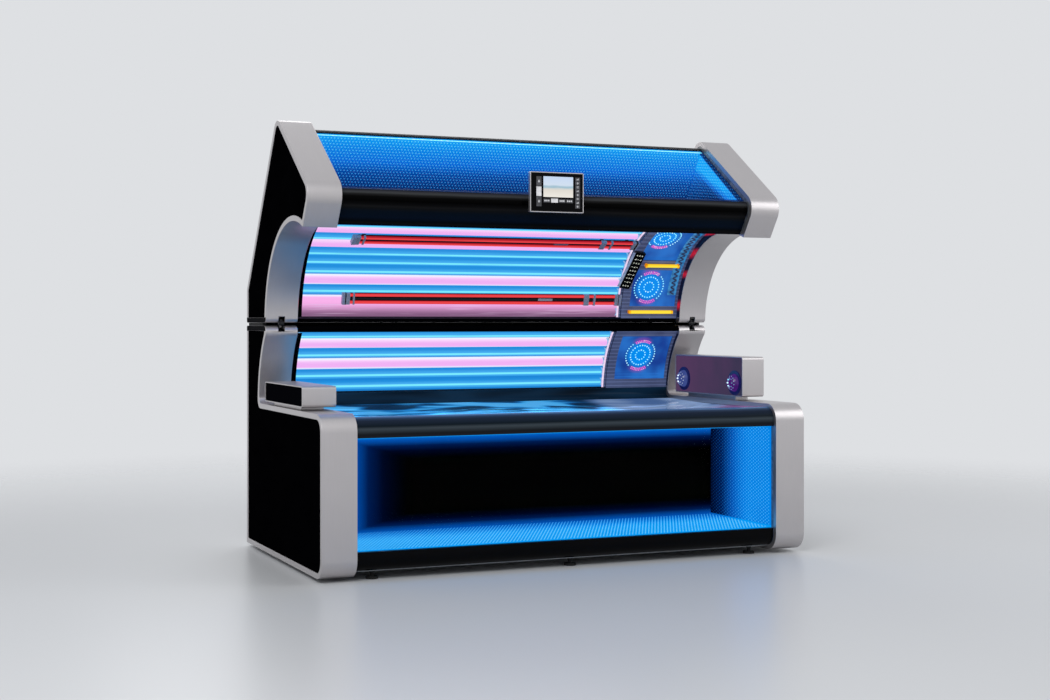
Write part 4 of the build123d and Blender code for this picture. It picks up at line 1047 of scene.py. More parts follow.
class BED_OT_lamps(Operator):
    """Fits the riser and the canopy with their lamps, their metal caps and the lit troughs behind them"""

    bl_idname = "tanning_bed.lamps"
    bl_label = "Lamps"

    def execute(self, context):
        tones = colours()
        for part, (hub, radius, end, first, pitch, count, pink) in LAMP_ROWS.items():
            body = "base" if part == "riser" else "canopy"
            dusk = DUSK if part == "canopy" else None
            place = hub + Vector((radius, 0))
            glass = rod("glass", TUBES_START + CAP_LENGTH, end - CAP_LENGTH, *place, TUBE_R, 40)
            soften(glass, 0.004, 3)
            cap = rod("cap", TUBES_START, TUBES_START + CAP_LENGTH, *place, TUBE_R - 0.0004, 40)
            soften(cap, 0.0015, 2)
            cap = joined("cap", [cap, moved(twin(cap), shift(x=end - TUBES_START - CAP_LENGTH))])
            trough = lamp_trough(hub, radius, radians(pitch), end)
            angles = [first + pitch * i for i in range(count)]
            for tint in ("blue", "pink"):
                turns = [about(hub, a) for i, a in enumerate(angles) if (i in pink) == (tint == "pink")]
                name = part + "_" + tint
                lamps = joined(name + "_lamps", repeated(twin(glass), turns))
                # Each lamp glows with its own light; the troughs' glow is painted lamp light reflected in
                # them.
                if tint == "blue":
                    lit = glow(name + "_light", tones.lamp_blue, tone(36, 142, 220), tuple(hub), 1.6,
                               line=0.06)
                    back = glow(name + "_trough", tone(34, 142, 220), tone(24, 122, 206), tuple(hub), 1.0)
                else:
                    lit = glow(name + "_light", tones.lamp_pink, tone(250, 214, 252), tuple(hub), 1.2,
                               dusk=dusk)
                    back = glow(name + "_trough", tone(236, 242, 255), tone(220, 232, 255), tuple(hub),
                                dusk=dusk)
                hand_over(lamps, body, "tube_" + tint, lit, name + "_tubes")
                troughs = joined(name + "_troughs", repeated(twin(trough), turns))
                hand_over(troughs, body, "reflector_bright", back, part + "_reflector")
            caps = joined(part + "_lamp_caps", repeated(cap, [about(hub, a) for a in angles]))
            # The caps' blue glow is painted reflection of the blue lamps on their metal.
            hand_over(caps, body, "bright_steel",
                      screen_tile("lamp_cap", tone(96, 150, 206), tone(150, 196, 232)))
            for spare in (glass, trough):
                bpy.data.objects.remove(spare)
            near = radius - TUBE_R - 0.004
            arc = arc_plate(hub, near, near + 0.002, first - pitch / 2, angles[-1] + pitch / 2)
            self.lamp_ends(part, body, arc, end)
        coat(socket_plastic(), "base_lamp_holders", "canopy_lamp_holders")
        coat(plain_steel(), "bed_reflector")
        return {"FINISHED"}

    def lamp_ends(self, part, body, arc, end):
        """Lit edge and filler beside the facial panel, and a black shade over the lamps' other ends."""
        edge = slab(part + "_lamp_edge", arc, end - 0.008, end + 0.002)
        hand_over(soften(edge, 0), body, "tube_pink", lit_dot("lamp_edge", tone(232, 204, 238), 1.0))
        panel_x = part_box(part + "_face_panel")[0].x
        filler = slab(part + "_edge_filler", arc, end + 0.002, panel_x - 0.0005)
        hand_over(soften(filler, 0), body, "panel_smoke", smoked_panel())
        shade = slab(part + "_lamp_shade", arc, 0.0005 - X_MID, TUBES_START + 0.014)
        hand_over(soften(shade, 0), body, "gloss_black", gloss_black("side_gloss", 0.0))


def arc_plate(hub, near, far, low, high):
    """Outline of a plate bent about a hub, between two radii and two angles."""
    return [(hub, on_hub(hub, near, low), on_hub(hub, near, high)),
            (hub, on_hub(hub, far, high), on_hub(hub, far, low))]


def lamp_trough(hub, radius, pitch, end):
    """Reflector behind one lamp: a shallow channel with a ridge halfway to each neighbour."""
    back = radius + TUBE_R + 0.005
    ridge = radius + 0.006
    half = pitch / 2
    points = [hub + r * Vector((cos(a), sin(a))) for a, r in (
        (-half, ridge), (-half * 0.72, back - 0.004), (-half * 0.35, back), (half * 0.35, back),
        (half * 0.72, back - 0.004), (half, ridge))]
    far = [hub + ((p - hub).length + 0.0012) * (p - hub).normalized() for p in reversed(points)]
    trough = slab("trough", [(None, p, p) for p in points + far], -X_MID, end + 0.014)
    return soften(trough, 0)


# ---- light niches --------------------------------------------------------------------------------
NICHE_LOW, NICHE_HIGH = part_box("base_light_niche")
ROW_SHARE = 0.93


def base_niche_level(paint):
    """Brightness in the base's niche: high by the window, low at the back, none in its middle or behind."""
    x, y, z = paint.axes(paint.place())
    depth = (y - NICHE_LOW.y) / (NICHE_HIGH.y - NICHE_LOW.y)
    rear = depth > 0.985
    end = (x > X_MID - 0.012) * (z - NICHE_LOW.z > 0.009)
    walls = depth.fade(0.45, 1.10, 0.97, 0.60) * (1 - end) + depth.fade(0.30, 1.10, 0.86, 0.12) * end
    # Painted light on the back panel: a glow along its lower, upper and left borders, as from the walls'
    # light dots.
    back = (z - NICHE_LOW.z).fade(-0.02, 0.085, 0.68, 0.0)
    back = back.math("MAXIMUM", (NICHE_HIGH.z - z).fade(0.0, 0.15, 0.90, 0.0))
    back = back.math("MAXIMUM", (x + X_MID).fade(-0.02, 0.44, 0.95, 0.0))
    inside = y < NICHE_HIGH.y - SHEET / 2
    return (walls * (1 - rear) + back * rear) * (paint.noise(6.0, 2.0) * 0.08 + 0.96) * inside


@cache
def base_niche_light():
    """Lit walls of the base's niche."""
    paint = Paint("base_niche_light", base_color=BLACK, specular_ior_level=0.0, emission_strength=1.0)
    return paint.end(emission_color=paint.node("ShaderNodeValToRGB", {"stops": (
        (0.0, BLACK), (0.17, tone(0, 5, 32)), (0.37, tone(0, 26, 78)), (0.62, tone(2, 82, 178)),
        (0.82, tone(2, 122, 222)), (1.0, colours().niche))}, {0: base_niche_level(paint)}))


@cache
def base_niche_dot():
    """Light dots of the base's niche, always brighter than the wall they sit on."""
    paint = Paint("base_niche_dot", base_color=BLACK, specular_ior_level=0.0, emission_strength=1.0)
    return paint.end(emission_color=paint.node("ShaderNodeValToRGB", {"stops": (
        (0.0, BLACK), (0.17, tone(4, 44, 104)), (0.37, tone(16, 88, 172)), (0.62, tone(46, 146, 230)),
        (0.82, tone(74, 184, 250)), (1.0, colours().dots))}, {0: base_niche_level(paint)}))


def screen_point(y, inset):
    brow = FACES["screen"][1] - inset * SCREEN_NORMAL
    return brow + (y - brow.x) * Vector((1, SCREEN_SLOPE))


ROOF_NICHE_INSET = CANOPY_INSET + 0.007
ROOF_NICHE_TOP = screen_point(0.046, ROOF_NICHE_INSET)
ROOF_NICHE_BACK = ROOF_NICHE_TOP - 0.298 * SCREEN_NORMAL
ROOF_NICHE_FRONT = screen_point(-0.361, ROOF_NICHE_INSET)


@cache
def roof_niche_light(dots=False):
    """Light that falls from the window's upper edge down the niche's upper wall."""
    paint = Paint("roof_niche_dot" if dots else "roof_niche_light", base_color=BLACK, specular_ior_level=0.1,
                  emission_strength=1.0)
    x, y, z = paint.axes(paint.place())
    height = (z - ROOF_NICHE_BACK.y) / (ROOF_NICHE_TOP.y - ROOF_NICHE_BACK.y)
    inwards = ROOF_NICHE_TOP.dot(SCREEN_NORMAL) - (y * SCREEN_NORMAL.x + z * SCREEN_NORMAL.y)
    end = abs(x) > X_MID - 0.0075
    streak = inwards.fade(0.010, 0.032, -0.9, 0.8) * inwards.fade(0.045, 0.13, 1.0, 0.0)
    end_level = height + streak + (inwards * 260.0).math("SINE") * 0.06
    level = (height * (1 - end) + end_level * end) * (paint.noise(5.0, 2.0) * 0.10 + 0.95)
    if dots:
        stops = ((0.0, tone(34, 116, 196)), (0.4, tone(56, 158, 234)), (1.0, tone(96, 218, 255)))
    else:
        stops = ((0.0, tone(0, 34, 88)), (0.35, tone(0, 68, 155)), (0.55, tone(4, 106, 214)),
                 (0.8, tone(4, 132, 230)), (1.0, tone(10, 160, 246)))
    return paint.end(emission_color=paint.node("ShaderNodeValToRGB", {"stops": stops}, {0: level}))


def dot_field(origin, across, up, inward, width, height, pitch, radius):
    """Staggered rows of low light dots on a wall, from its corner along two of its sides."""
    row = pitch * ROW_SHARE
    dot = start("dot", "cone", vertices=5, radius1=radius, radius2=radius * 0.2, depth=radius * 0.5,
                location=(0, 0, radius * 0.25))
    pair = joined("dots", [dot, moved(twin(dot), shift(pitch / 2, row))])
    apply(pair, "ARRAY", count=int(width / pitch), use_relative_offset=False, use_constant_offset=True,
          constant_offset_displace=(pitch, 0, 0))
    apply(pair, "ARRAY", count=int(height / row / 2), use_relative_offset=False, use_constant_offset=True,
          constant_offset_displace=(0, 2 * row, 0))
    spare_x = width - (int(width / pitch) - 0.5) * pitch
    spare_y = height - (2 * int(height / row / 2) - 1) * row
    frame_of = Matrix((across, up, inward)).transposed().to_4x4()
    return moved(pair, Matrix.Translation(origin) @ frame_of @ shift(spare_x / 2, spare_y / 2))


def trimmed(piece, point, normal):
    """Cuts a piece off beyond a plane and closes the cut."""
    with editing(piece):
        bpy.ops.mesh.bisect(plane_co=point, plane_no=normal, clear_outer=True, use_fill=True)
    return piece


class BED_OT_niches(Operator):
    """Lights the niches behind the windows and sets their walls with light dots"""

    bl_idname = "tanning_bed.niches"
    bl_label = "Light niches"

    def execute(self, context):
        sizes = context.scene.tanning_bed_sizes
        dot = (sizes.dot_pitch, sizes.dot_radius)
        coat(base_niche_light(), "base_light_niche")
        low = NICHE_LOW + Vector((SHEET, 0, SHEET))
        high = NICHE_HIGH - Vector((SHEET, SHEET, SHEET))
        span, depth, height = high - low
        x, y, z = Vector((1, 0, 0)), Vector((0, 1, 0)), Vector((0, 0, 1))
        walls = [dot_field(low, x, y, z, span, depth, *dot),
                 dot_field((low.x, low.y, high.z), x, y, -z, span, depth, *dot),
                 dot_field(low, z, y, x, height, depth, *dot),
                 dot_field((high.x, low.y, low.z), z, y, -x, height, depth, *dot)]
        hand_over(joined("base_niche_dots", walls), "base", "niche_light", base_niche_dot())

        coat(roof_niche_light(), "canopy_light_niche")
        top, back = Vector((0, *ROOF_NICHE_TOP)), Vector((0, *ROOF_NICHE_BACK))
        down = (back - top).normalized()
        ahead = -x.cross(down)
        ahead *= 1 if ahead.y < 0 else -1
        reach_down = (back - top).length
        edge = high.x
        field = dot_field(Vector((-edge, *ROOF_NICHE_TOP)), x, down, ahead, 2 * edge, reach_down, *dot)
        level = Vector((0, *(ROOF_NICHE_FRONT - ROOF_NICHE_BACK)))
        ledge = dot_field(Vector((-edge, *ROOF_NICHE_BACK)), x, level.normalized(),
                          x.cross(level).normalized(), 2 * edge, level.length, *dot)
        ends = []
        for side in (-1, 1):
            wall = dot_field(Vector((side * edge, *ROOF_NICHE_TOP)), down, ahead, -side * x, reach_down,
                             (ROOF_NICHE_FRONT - ROOF_NICHE_TOP).length, *dot)
            floor_normal = level.cross(x)
            floor_normal *= -1 if floor_normal.z > 0 else 1
            ends.append(trimmed(wall, Vector((0, *ROOF_NICHE_BACK)), floor_normal))
        hand_over(joined("canopy_niche_dots", [field, ledge, *ends]), "canopy", "niche_light",
                  roof_niche_light(dots=True))
        line = box("canopy_edge_light", (-edge, -0.006, -0.0015), (edge, 0.006, 0.0015))
        moved(line, Matrix.Translation((0, *(ROOF_NICHE_TOP - 0.006 * SCREEN_NORMAL))))
        hand_over(soften(line, 0.0005), "canopy", "niche_light", lit_dot("edge_light", tone(120, 236, 250)))
        coat(clear_sheet(), "base_front_window", "canopy_front_window")
        return {"FINISHED"}


# ---- bed and clear sheets ------------------------------------------------------------------------
class BED_OT_bed(Operator):
    """Lays the smoked bed sheet and the clear sheets in front of the lamps"""

    bl_idname = "tanning_bed.bed"
    bl_label = "Bed and clear sheets"

    def execute(self, context):
        sheet = refined("bed_acrylic", edge=0, name="bed_sheet")
        hand_over(sheet, "base", "acrylic_clear", bed_sheet(), "bed_acrylic")
        coat(clear_sheet("lamp_acrylic", 1.06, 0.05), "riser_acrylic", "canopy_acrylic")
        coat(socket_plastic(), "bed_tubes")
        return {"FINISHED"}


# ---- red light bars ------------------------------------------------------------------------------
RED_BARS = {15.4: (-0.817, 0.683), 57.5: (-0.830, 0.678)}
RED_AXIS_R = 0.473
RED_SPACING = 0.036
RED_TUBE_R = 0.008


@cache
def cloudy_clip():
    """Grey translucent plastic of the clips."""
    paint = Paint("cloudy_clip", specular_ior_level=0.5)
    veins = paint.noise(160.0, 3.0)
    return paint.end(base_color=paint.mix(tone(120, 126, 140), tone(176, 184, 200), veins),
                     roughness=0.18 + veins * 0.15)


@cache
def bar_frame():
    """Black back plates of the red bars with cloudy blocks at their ends."""
    paint = Paint("bar_frame", specular_ior_level=0.3)
    x = paint.axes(paint.place())[0]
    veins = paint.noise(160.0, 3.0)
    ends = (x < RED_BARS[15.4][0] + 0.012) + (x > RED_BARS[57.5][1] - 0.010)
    block = paint.mix(tone(112, 120, 146), tone(186, 194, 214), veins)
    return paint.end(base_color=paint.mix(tone(18, 14, 18), block, ends), roughness=0.25 + veins * 0.15)


class BED_OT_red_bars(Operator):
    """Hangs the red light bars on their back plates, with end clips and clamps"""

    bl_idname = "tanning_bed.red_bars"
    bl_label = "Red light bars"

    def execute(self, context):
        hub = CANOPY_HUB
        hand_over(refined("red_bar_frames"), "canopy", "frame_steel", bar_frame(), "red_bar_frames")
        tubes, clips, labels = [], [], []
        for angle, (x0, x1) in RED_BARS.items():
            turn = about(hub, angle)
            for side in (-1, 1):
                tube = rod("tube", x0 + 0.0083, x1 - 0.0083, hub.x + RED_AXIS_R,
                           hub.y + side * RED_SPACING / 2, RED_TUBE_R, 24)
                tubes.append(moved(soften(tube, 0.001), turn))
            half = RED_SPACING / 2 + RED_TUBE_R + 0.0025
            for x, width in ((x0 + 0.018, 0.020), (x0 + 0.052, 0.010), (x1 - 0.038, 0.020),
                             (x1 - 0.215, 0.030), (x1 - 0.160, 0.012)):
                clip = box("clip", (x, hub.x + RED_AXIS_R - RED_TUBE_R - 0.0015, hub.y - half),
                           (x + width, hub.x + RED_AXIS_R + RED_TUBE_R, hub.y + half))
                clips.append(moved(soften(clip, 0.002, 3), turn))
            plate = box("plate", (x1 - 0.470, hub.x + RED_AXIS_R - 0.0045, hub.y - 0.0065),
                        (x1 - 0.390, hub.x + RED_AXIS_R - 0.002, hub.y + 0.0065))
            labels.append(moved(soften(plate, 0.0006), turn))
        red = colours().red
        hand_over(joined("red_lamps", tubes), "canopy", "tube_red",
                  glow("red_light", red, tone(168, 18, 36), tuple(hub), 1.4), "red_bar_tubes")
        hand_over(joined("red_bar_clips", clips), "canopy", "socket_white", cloudy_clip())
        hand_over(joined("red_bar_plates", labels), "canopy", "bright_steel", plain_steel())
        return {"FINISHED"}


# ---- facial section ------------------------------------------------------------------------------
FACE_R = {"riser": 0.490, "canopy": 0.500}
RING_LAMPS = (("riser", RISER_HUB, 0.858, 25.0), ("canopy", CANOPY_HUB, 0.852, 22.8),
              ("canopy", CANOPY_HUB, 0.830, 61.0))
# Rings of light dots: radius, number and share of the turn.
LAMP_RINGS = ((0.028, 12, (0.0, 1.0)), (0.057, 24, (0.0, 1.0)), (0.084, 10, (-0.13, 0.15)),
              (0.084, 10, (0.37, 0.65)))
LAMP_ARCS = ((0.078, 9, (0.17, 0.35)), (0.087, 10, (0.17, 0.35)), (0.078, 9, (0.67, 0.85)),
             (0.087, 10, (0.67, 0.85)))
RING_DOT_R = 0.0036
YELLOW_BARS = {38.7: (0.787, 0.985), 7.6: (0.741, 1.001)}
CHEVRON_X = (0.9640, 1.0160)
CHEVRON_ARC = (18.0, 80.0)
CHEVRON_COUNT = 20


@cache
def smoked_panel():
    """Smoked plastic of the facial panels, with faint lines across it and a painted glow of lamp light."""
    paint = Paint("smoked_panel", specular_ior_level=0.3, emission_strength=1.0)
    clouds = paint.noise(9.0, 3.0)
    z = paint.axes(paint.place())[2]
    pattern = clouds * 0.6 + (z * 330.0).math("SINE").fade(0.55, 1.0) * 0.5
    return paint.end(base_color=paint.mix(tone(50, 58, 82), tone(96, 106, 136), pattern),
                     emission_color=paint.mix(tone(30, 34, 56), tone(74, 84, 118), pattern),
                     roughness=0.16 + clouds * 0.12)


@cache
def lit_board():
    """Blue light board: light blue on its round lamps, magenta above and below them."""
    paint = Paint("lit_board", base_color=BLACK, specular_ior_level=0.1, roughness=0.25,
                  emission_strength=1.0)
    x, _, z = paint.axes(paint.place())
    stripes = (z * 420.0).math("SINE").fade(0.2, 1.0) * z.fade(0.86, 0.80) * 0.35
    pattern = paint.noise(7.0, 2.0).fade(0.3, 0.7) + stripes
    shade = paint.mix(tone(24, 62, 146), tone(40, 112, 200), pattern)
    for part, hub, ring_x, angle in RING_LAMPS:
        middle = (ring_x, *on_hub(hub, FACE_R[part] + 0.003, angle))
        away = paint.node("ShaderNodeVectorMath", {"operation": "DISTANCE"},
                          {0: paint.place(), 1: middle}, output="Value")
        arcs = away.fade(0.070, 0.086) * away.fade(0.090, 0.112, 1.0, 0.0)
        arcs *= abs(x - ring_x).fade(0.02, 0.07, 0.4, 0.0)
        shade = paint.mix(shade, tone(150, 60, 160), arcs)
        shade = paint.mix(shade, tone(0, 140, 238), away.fade(0.050, 0.092, 1.0, 0.0))
    return paint.end(emission_color=shade)


def ring_places(part, hub, x, angle, radius, count, share):
    """Places on the tunnel's wall along a share of a ring about a round lamp's middle."""
    wall = FACE_R[part] + 0.0028
    for i in range(count):
        turn = 2 * pi * (share[0] + i / count * (share[1] - share[0]))
        yield on_wall(hub, angle + degrees(radius * sin(turn) / wall), wall, x + radius * cos(turn))


def on_wall(hub, angle, radius, x):
    """Frame on the tunnel's wall: its Z points to the hub, its X along the machine."""
    upright = Matrix(((1, 0, 0, x), (0, 0, -1, hub.x + radius), (0, 1, 0, hub.y), (0, 0, 0, 1)))
    return about(hub, angle) @ upright


class BED_OT_facial(Operator):
    """Fits the facial section: smoked panels, light boards, ring lamps, yellow bars and chevrons"""

    bl_idname = "tanning_bed.facial"
    bl_label = "Facial section"

    def execute(self, context):
        for node, body in (("riser_face_panel", "base"), ("canopy_face_panel", "canopy")):
            hand_over(refined(node), body, "panel_smoke", smoked_panel(), node)
        coat(lit_board(), "riser_led_board", "canopy_led_boards")
        sphere = start("dot", "uv_sphere", segments=10, ring_count=5, radius=RING_DOT_R)
        finishes = {
            "lamp_dots": ("niche_light", lit_dot("cyan_dot", tone(126, 226, 255)), LAMP_RINGS),
            "magenta_dots": ("tube_pink", lit_dot("magenta_dot", tone(224, 74, 196), 1.1), LAMP_ARCS)}
        for part, body in (("riser", "base"), ("canopy", "canopy")):
            for kind, (slot, finish, rings) in finishes.items():
                places = [place for owner, hub, x, angle in RING_LAMPS if owner == part
                          for ring in rings for place in ring_places(part, hub, x, angle, *ring)]
                hand_over(joined(part + "_" + kind, repeated(twin(sphere), places)), body, slot, finish)
        bpy.data.objects.remove(sphere)

        bars, holders = [], []
        for angle, (x0, x1) in YELLOW_BARS.items():
            turn = about(CANOPY_HUB, angle)
            y, z = CANOPY_HUB.x + 0.484, CANOPY_HUB.y
            bars.append(moved(soften(rod("bar", x0 + 0.011, x1 - 0.011, y, z, 0.009, 28), 0.001), turn))
            for x in (x0, x1 - 0.012):
                holder = box("holder", (x, y - 0.0088, z - 0.0088), (x + 0.012, y + 0.0115, z + 0.0088))
                holders.append(moved(soften(holder, 0.003, 3), turn))
        hand_over(joined("yellow_lamps", bars), "canopy", "bar_yellow",
                  glow("yellow_light", tone(255, 226, 60), colours().yellow, tuple(CANOPY_HUB), 1.2),
                  "yellow_light_bars")
        hand_over(joined("yellow_bar_ends", holders), "canopy", "bar_yellow",
                  glow("yellow_end", tone(255, 190, 20), tone(214, 130, 0), tuple(CANOPY_HUB)),
                  "yellow_light_bars")
        self.chevrons()
        self.edging()
        return {"FINISHED"}

    def chevrons(self):
        """Strip with a column of arrowheads along the arc."""
        low, high = CHEVRON_ARC
        hub, radius = CANOPY_HUB, FACE_R["canopy"] - 0.0045
        backing = slab("chevron_strip", arc_plate(hub, radius, radius + 0.0015, low, high), *CHEVRON_X)
        hand_over(soften(backing, 0), "canopy", "board_blue",
                  screen_tile("chevron_strip", tone(16, 84, 140), tone(48, 136, 196)))
        stroke = box("stroke", (-0.0145, -0.0040, -0.0004), (0.0145, 0.0040, 0.0004))
        strokes = [moved(twin(stroke), shift(y=side * 0.0062) @ Matrix.Rotation(side * radians(26), 4, "Z"))
                   for side in (-1, 1)]
        bpy.data.objects.remove(stroke)
        places = [on_wall(hub, low + 2 + (high - low - 4) * i / (CHEVRON_COUNT - 1), radius - 0.0006,
                          sum(CHEVRON_X) / 2) for i in range(CHEVRON_COUNT)]
        hand_over(joined("chevrons", repeated(joined("arrow", strokes), places)), "canopy", "board_blue",
                  screen_tile("chevron", tone(6, 24, 60), tone(12, 42, 88)))

    def edging(self):
        """Dark gloss edging on the bands' inner rims, where the lamps' sheets end."""
        rims = (("riser", "base", RISER_HUB, (0.470, 0.4895), (5.0, 42.0)),
                ("canopy", "canopy", CANOPY_HUB, (0.465, 0.4995), (4.5, 104.0)))
        for part, body, hub, radii, angles in rims:
            right = slab(part + "_edging", arc_plate(hub, *radii, *angles), X_MID + 0.0001, X_BAND - 0.0001)
            left = moved(twin(right), shift(x=-X_MID - X_BAND))
            both = joined(part + "_edging", [right, left])
            hand_over(soften(both, 0), body, "gloss_black", edging_gloss())


@cache
def edging_gloss():
    """Navy gloss with a faint painted navy glow and painted reflections of the red bars in a few soft spots.
    """
    paint = Paint("edging_gloss", base_color=tone(6, 8, 20), specular_ior_level=0.15, emission_strength=1.0)
    z = paint.axes(paint.place())[2]
    clouds = paint.noise(60.0, 2.0)
    # Painted reflections of the red bars, at four heights.
    painted_red_reflections = sum((abs(z - level).fade(0.0, spread, 1.0, 0.0) for level, spread in
                   ((1.551, 0.012), (1.457, 0.034), (1.352, 0.026), (1.190, 0.036))), 0.0)
    return paint.end(emission_color=paint.mix(tone(8, 12, 34), tone(206, 26, 48), painted_red_reflections * clouds * 1.5),
                     roughness=0.08 + clouds * 0.08)


# ---- end boxes and air jets ----------------------------------------------------------------------
JET_BALL_DEPTH = 0.026
# Painted reflection of the ring lamps' dots on a jet's ball, as small glowing dots: distance from its middle,
# radius, and for each ring its angle and number.
JET_REFLECTION_REACH, JET_REFLECTION_R = 0.0393, 0.0050
JET_REFLECTION_RINGS = ((36.0, 8), (50.0, 12))


@cache
def violet_gloss():
    """Head box panel with a painted glow of lamp light, blue-grey to violet upwards and rearwards; the foot
    box's is black.
    """
    paint = Paint("violet_gloss", base_color=tone(4, 4, 6), specular_ior_level=0.0, emission_strength=1.0)
    x, y, z = paint.axes(paint.place())
    clouds = paint.noise(8.0, 3.0)
    shade = paint.mix(tone(46, 52, 74), tone(80, 56, 90), (y + z * 0.6 + clouds * 0.5).fade(0.1, 1.05))
    return paint.end(emission_color=paint.mix(tone(3, 3, 5), shade, x > 0), roughness=0.10 + clouds * 0.10)


@cache
def jet_gloss(place):
    """Lit ball of a jet: grey-blue at the rear, violet at the front."""
    paint = Paint("jet_gloss_" + place, base_color=tone(10, 10, 30), specular_ior_level=0.4,
                  emission_strength=1.0)
    clouds = paint.noise(50.0, 2.0)
    low, high = {"rear": (tone(38, 50, 108), tone(66, 84, 150)),
                 "front": (tone(38, 14, 78), tone(82, 28, 124))}[place]
    return paint.end(emission_color=paint.mix(low, high, clouds), roughness=0.16 + clouds * 0.08)


# Dark gloss ring of a jet; its navy glow is painted lamp light.
@cache
def jet_ring_gloss():
    paint = Paint("jet_ring_gloss", base_color=tone(8, 10, 30), specular_ior_level=0.4, emission_strength=1.0)
    clouds = paint.noise(30.0, 2.0)
    return paint.end(emission_color=paint.mix(tone(8, 12, 48), tone(16, 22, 84), clouds),
                     roughness=0.12 + clouds * 0.1)


class BED_OT_end_boxes(Operator):
    """Finishes the head box and the foot box, their panels and the two air jets"""

    bl_idname = "tanning_bed.end_boxes"
    bl_label = "End boxes and air jets"

    def execute(self, context):
        for node in ("head_box_shell", "foot_box_shell"):
            hand_over(refined(node, 0.0012, segments=3), "base", "band_metal", brushed_metal(), node)
        hand_over(refined("end_box_panels"), "base", "gloss_black", violet_gloss(), "end_box_panels")
        for place in ("rear", "front"):
            hand_over(refined("air_jet_ring_" + place, 0.0012), "jet_ring_" + place, "gloss_black",
                      jet_ring_gloss(), "air_jet_ring_" + place)
            hand_over(refined("air_jet_ball_" + place, 0.0006), "jet_ball_" + place, "jet_violet",
                      jet_gloss(place), "air_jet_ball_" + place)
            self.jet_reflection_dots(place)
        return {"FINISHED"}

    def jet_reflection_dots(self, place):
        """Small glowing dots round the bore on the ball's face: a painted reflection of the ring lamps' dots.
        """
        low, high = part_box("air_jet_ball_" + place)
        middle = (low + high) / 2
        middle.x = high.x - JET_BALL_DEPTH
        dots = []
        for ring, (slant, count) in enumerate(JET_REFLECTION_RINGS):
            out = sin(radians(slant))
            for i in range(count):
                turn = 2 * pi * (i + 0.5 * ring) / count
                away = Vector((-cos(radians(slant)), out * cos(turn), out * sin(turn)))
                dots.append(start("dot", "uv_sphere", segments=24, ring_count=24, radius=JET_REFLECTION_R,
                                  location=middle + JET_REFLECTION_REACH * away))
        colour = tone(214, 232, 255) if place == "rear" else tone(130, 210, 240)
        hand_over(joined("jet_reflection_dots_" + place, dots), "jet_ball_" + place, "niche_light",
                  lit_dot("jet_reflection_glow_" + place, colour, 1.2))


# ---- touch screen and keypad ---------------------------------------------------------------------
SCREEN_LOW, SCREEN_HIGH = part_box("touchscreen")
PICTURE_Z = (1.670, 1.768)
# Left, right, bottom and top of what the screen shows, in shares of its width and height.
SCREEN_GLASS = (0.016, 0.984, 0.022, 0.978)
SCREEN_PICTURE = (0.245, 0.800, 0.380, 0.890)
PALE_TILES = ((0.115, 0.208, 0.398, 0.632), (0.388, 0.516, 0.245, 0.345))
LEFT_KEY_X, LEFT_KEY_LOWS, LEFT_KEY_TALL = (0.115, 0.208), (0.145, 0.640), 0.245
LOW_KEY_LEFTS, LOW_KEY_WIDE, LOW_KEY_Z = (0.248, 0.530, 0.672), 0.125, (0.245, 0.335)
RIGHT_KEYS, RIGHT_KEY_STEP = 8, 0.0975
RIGHT_KEY_X, RIGHT_KEY_LOW, RIGHT_KEY_HIGH, RIGHT_KEY_MIDDLE = (0.842, 0.930), 0.115, 0.2035, 0.159
MARK_DEPTH = 0.0010
# The keypad's place: turned about the canopy's hub and slanted in its own plane, in degrees.
KEYPAD_TURN, KEYPAD_X, KEYPAD_REACH, KEYPAD_LEAN = 36.2, 0.712, 0.473, 8
KEY_ROWS, KEY_COLUMNS = 9, 3
KEY_FIRST, KEY_STEP = (-0.0145, -0.094), (0.0145, 0.0235)


@cache
def beach_view():
    """Plain sky, sea and sand in soft bands."""
    paint = Paint("beach_view", base_color=BLACK, emission_strength=1.0, roughness=0.2)
    z = paint.axes(paint.place())[2]
    height = (z - PICTURE_Z[0]) / (PICTURE_Z[1] - PICTURE_Z[0])
    clouds = paint.noise(22.0, 4.0, stretch=(1, 1, 3)) * 0.10
    bands = paint.node("ShaderNodeValToRGB", {"stops": (
        (0.0, tone(236, 232, 224)), (0.40, tone(220, 214, 204)), (0.47, tone(196, 206, 208)),
        (0.52, tone(150, 184, 200)), (0.58, tone(176, 200, 216)), (0.62, tone(206, 220, 236)),
        (1.0, tone(196, 214, 240)))}, {0: height + clouds - 0.05})
    return paint.end(emission_color=bands)


@cache
def screen_tile(name, dark, pale):
    paint = Paint(name, base_color=BLACK, emission_strength=1.0, roughness=0.2)
    grain = paint.noise(60.0, 2.0)
    return paint.end(emission_color=paint.mix(dark, pale, grain.fade(0.3, 0.7)))


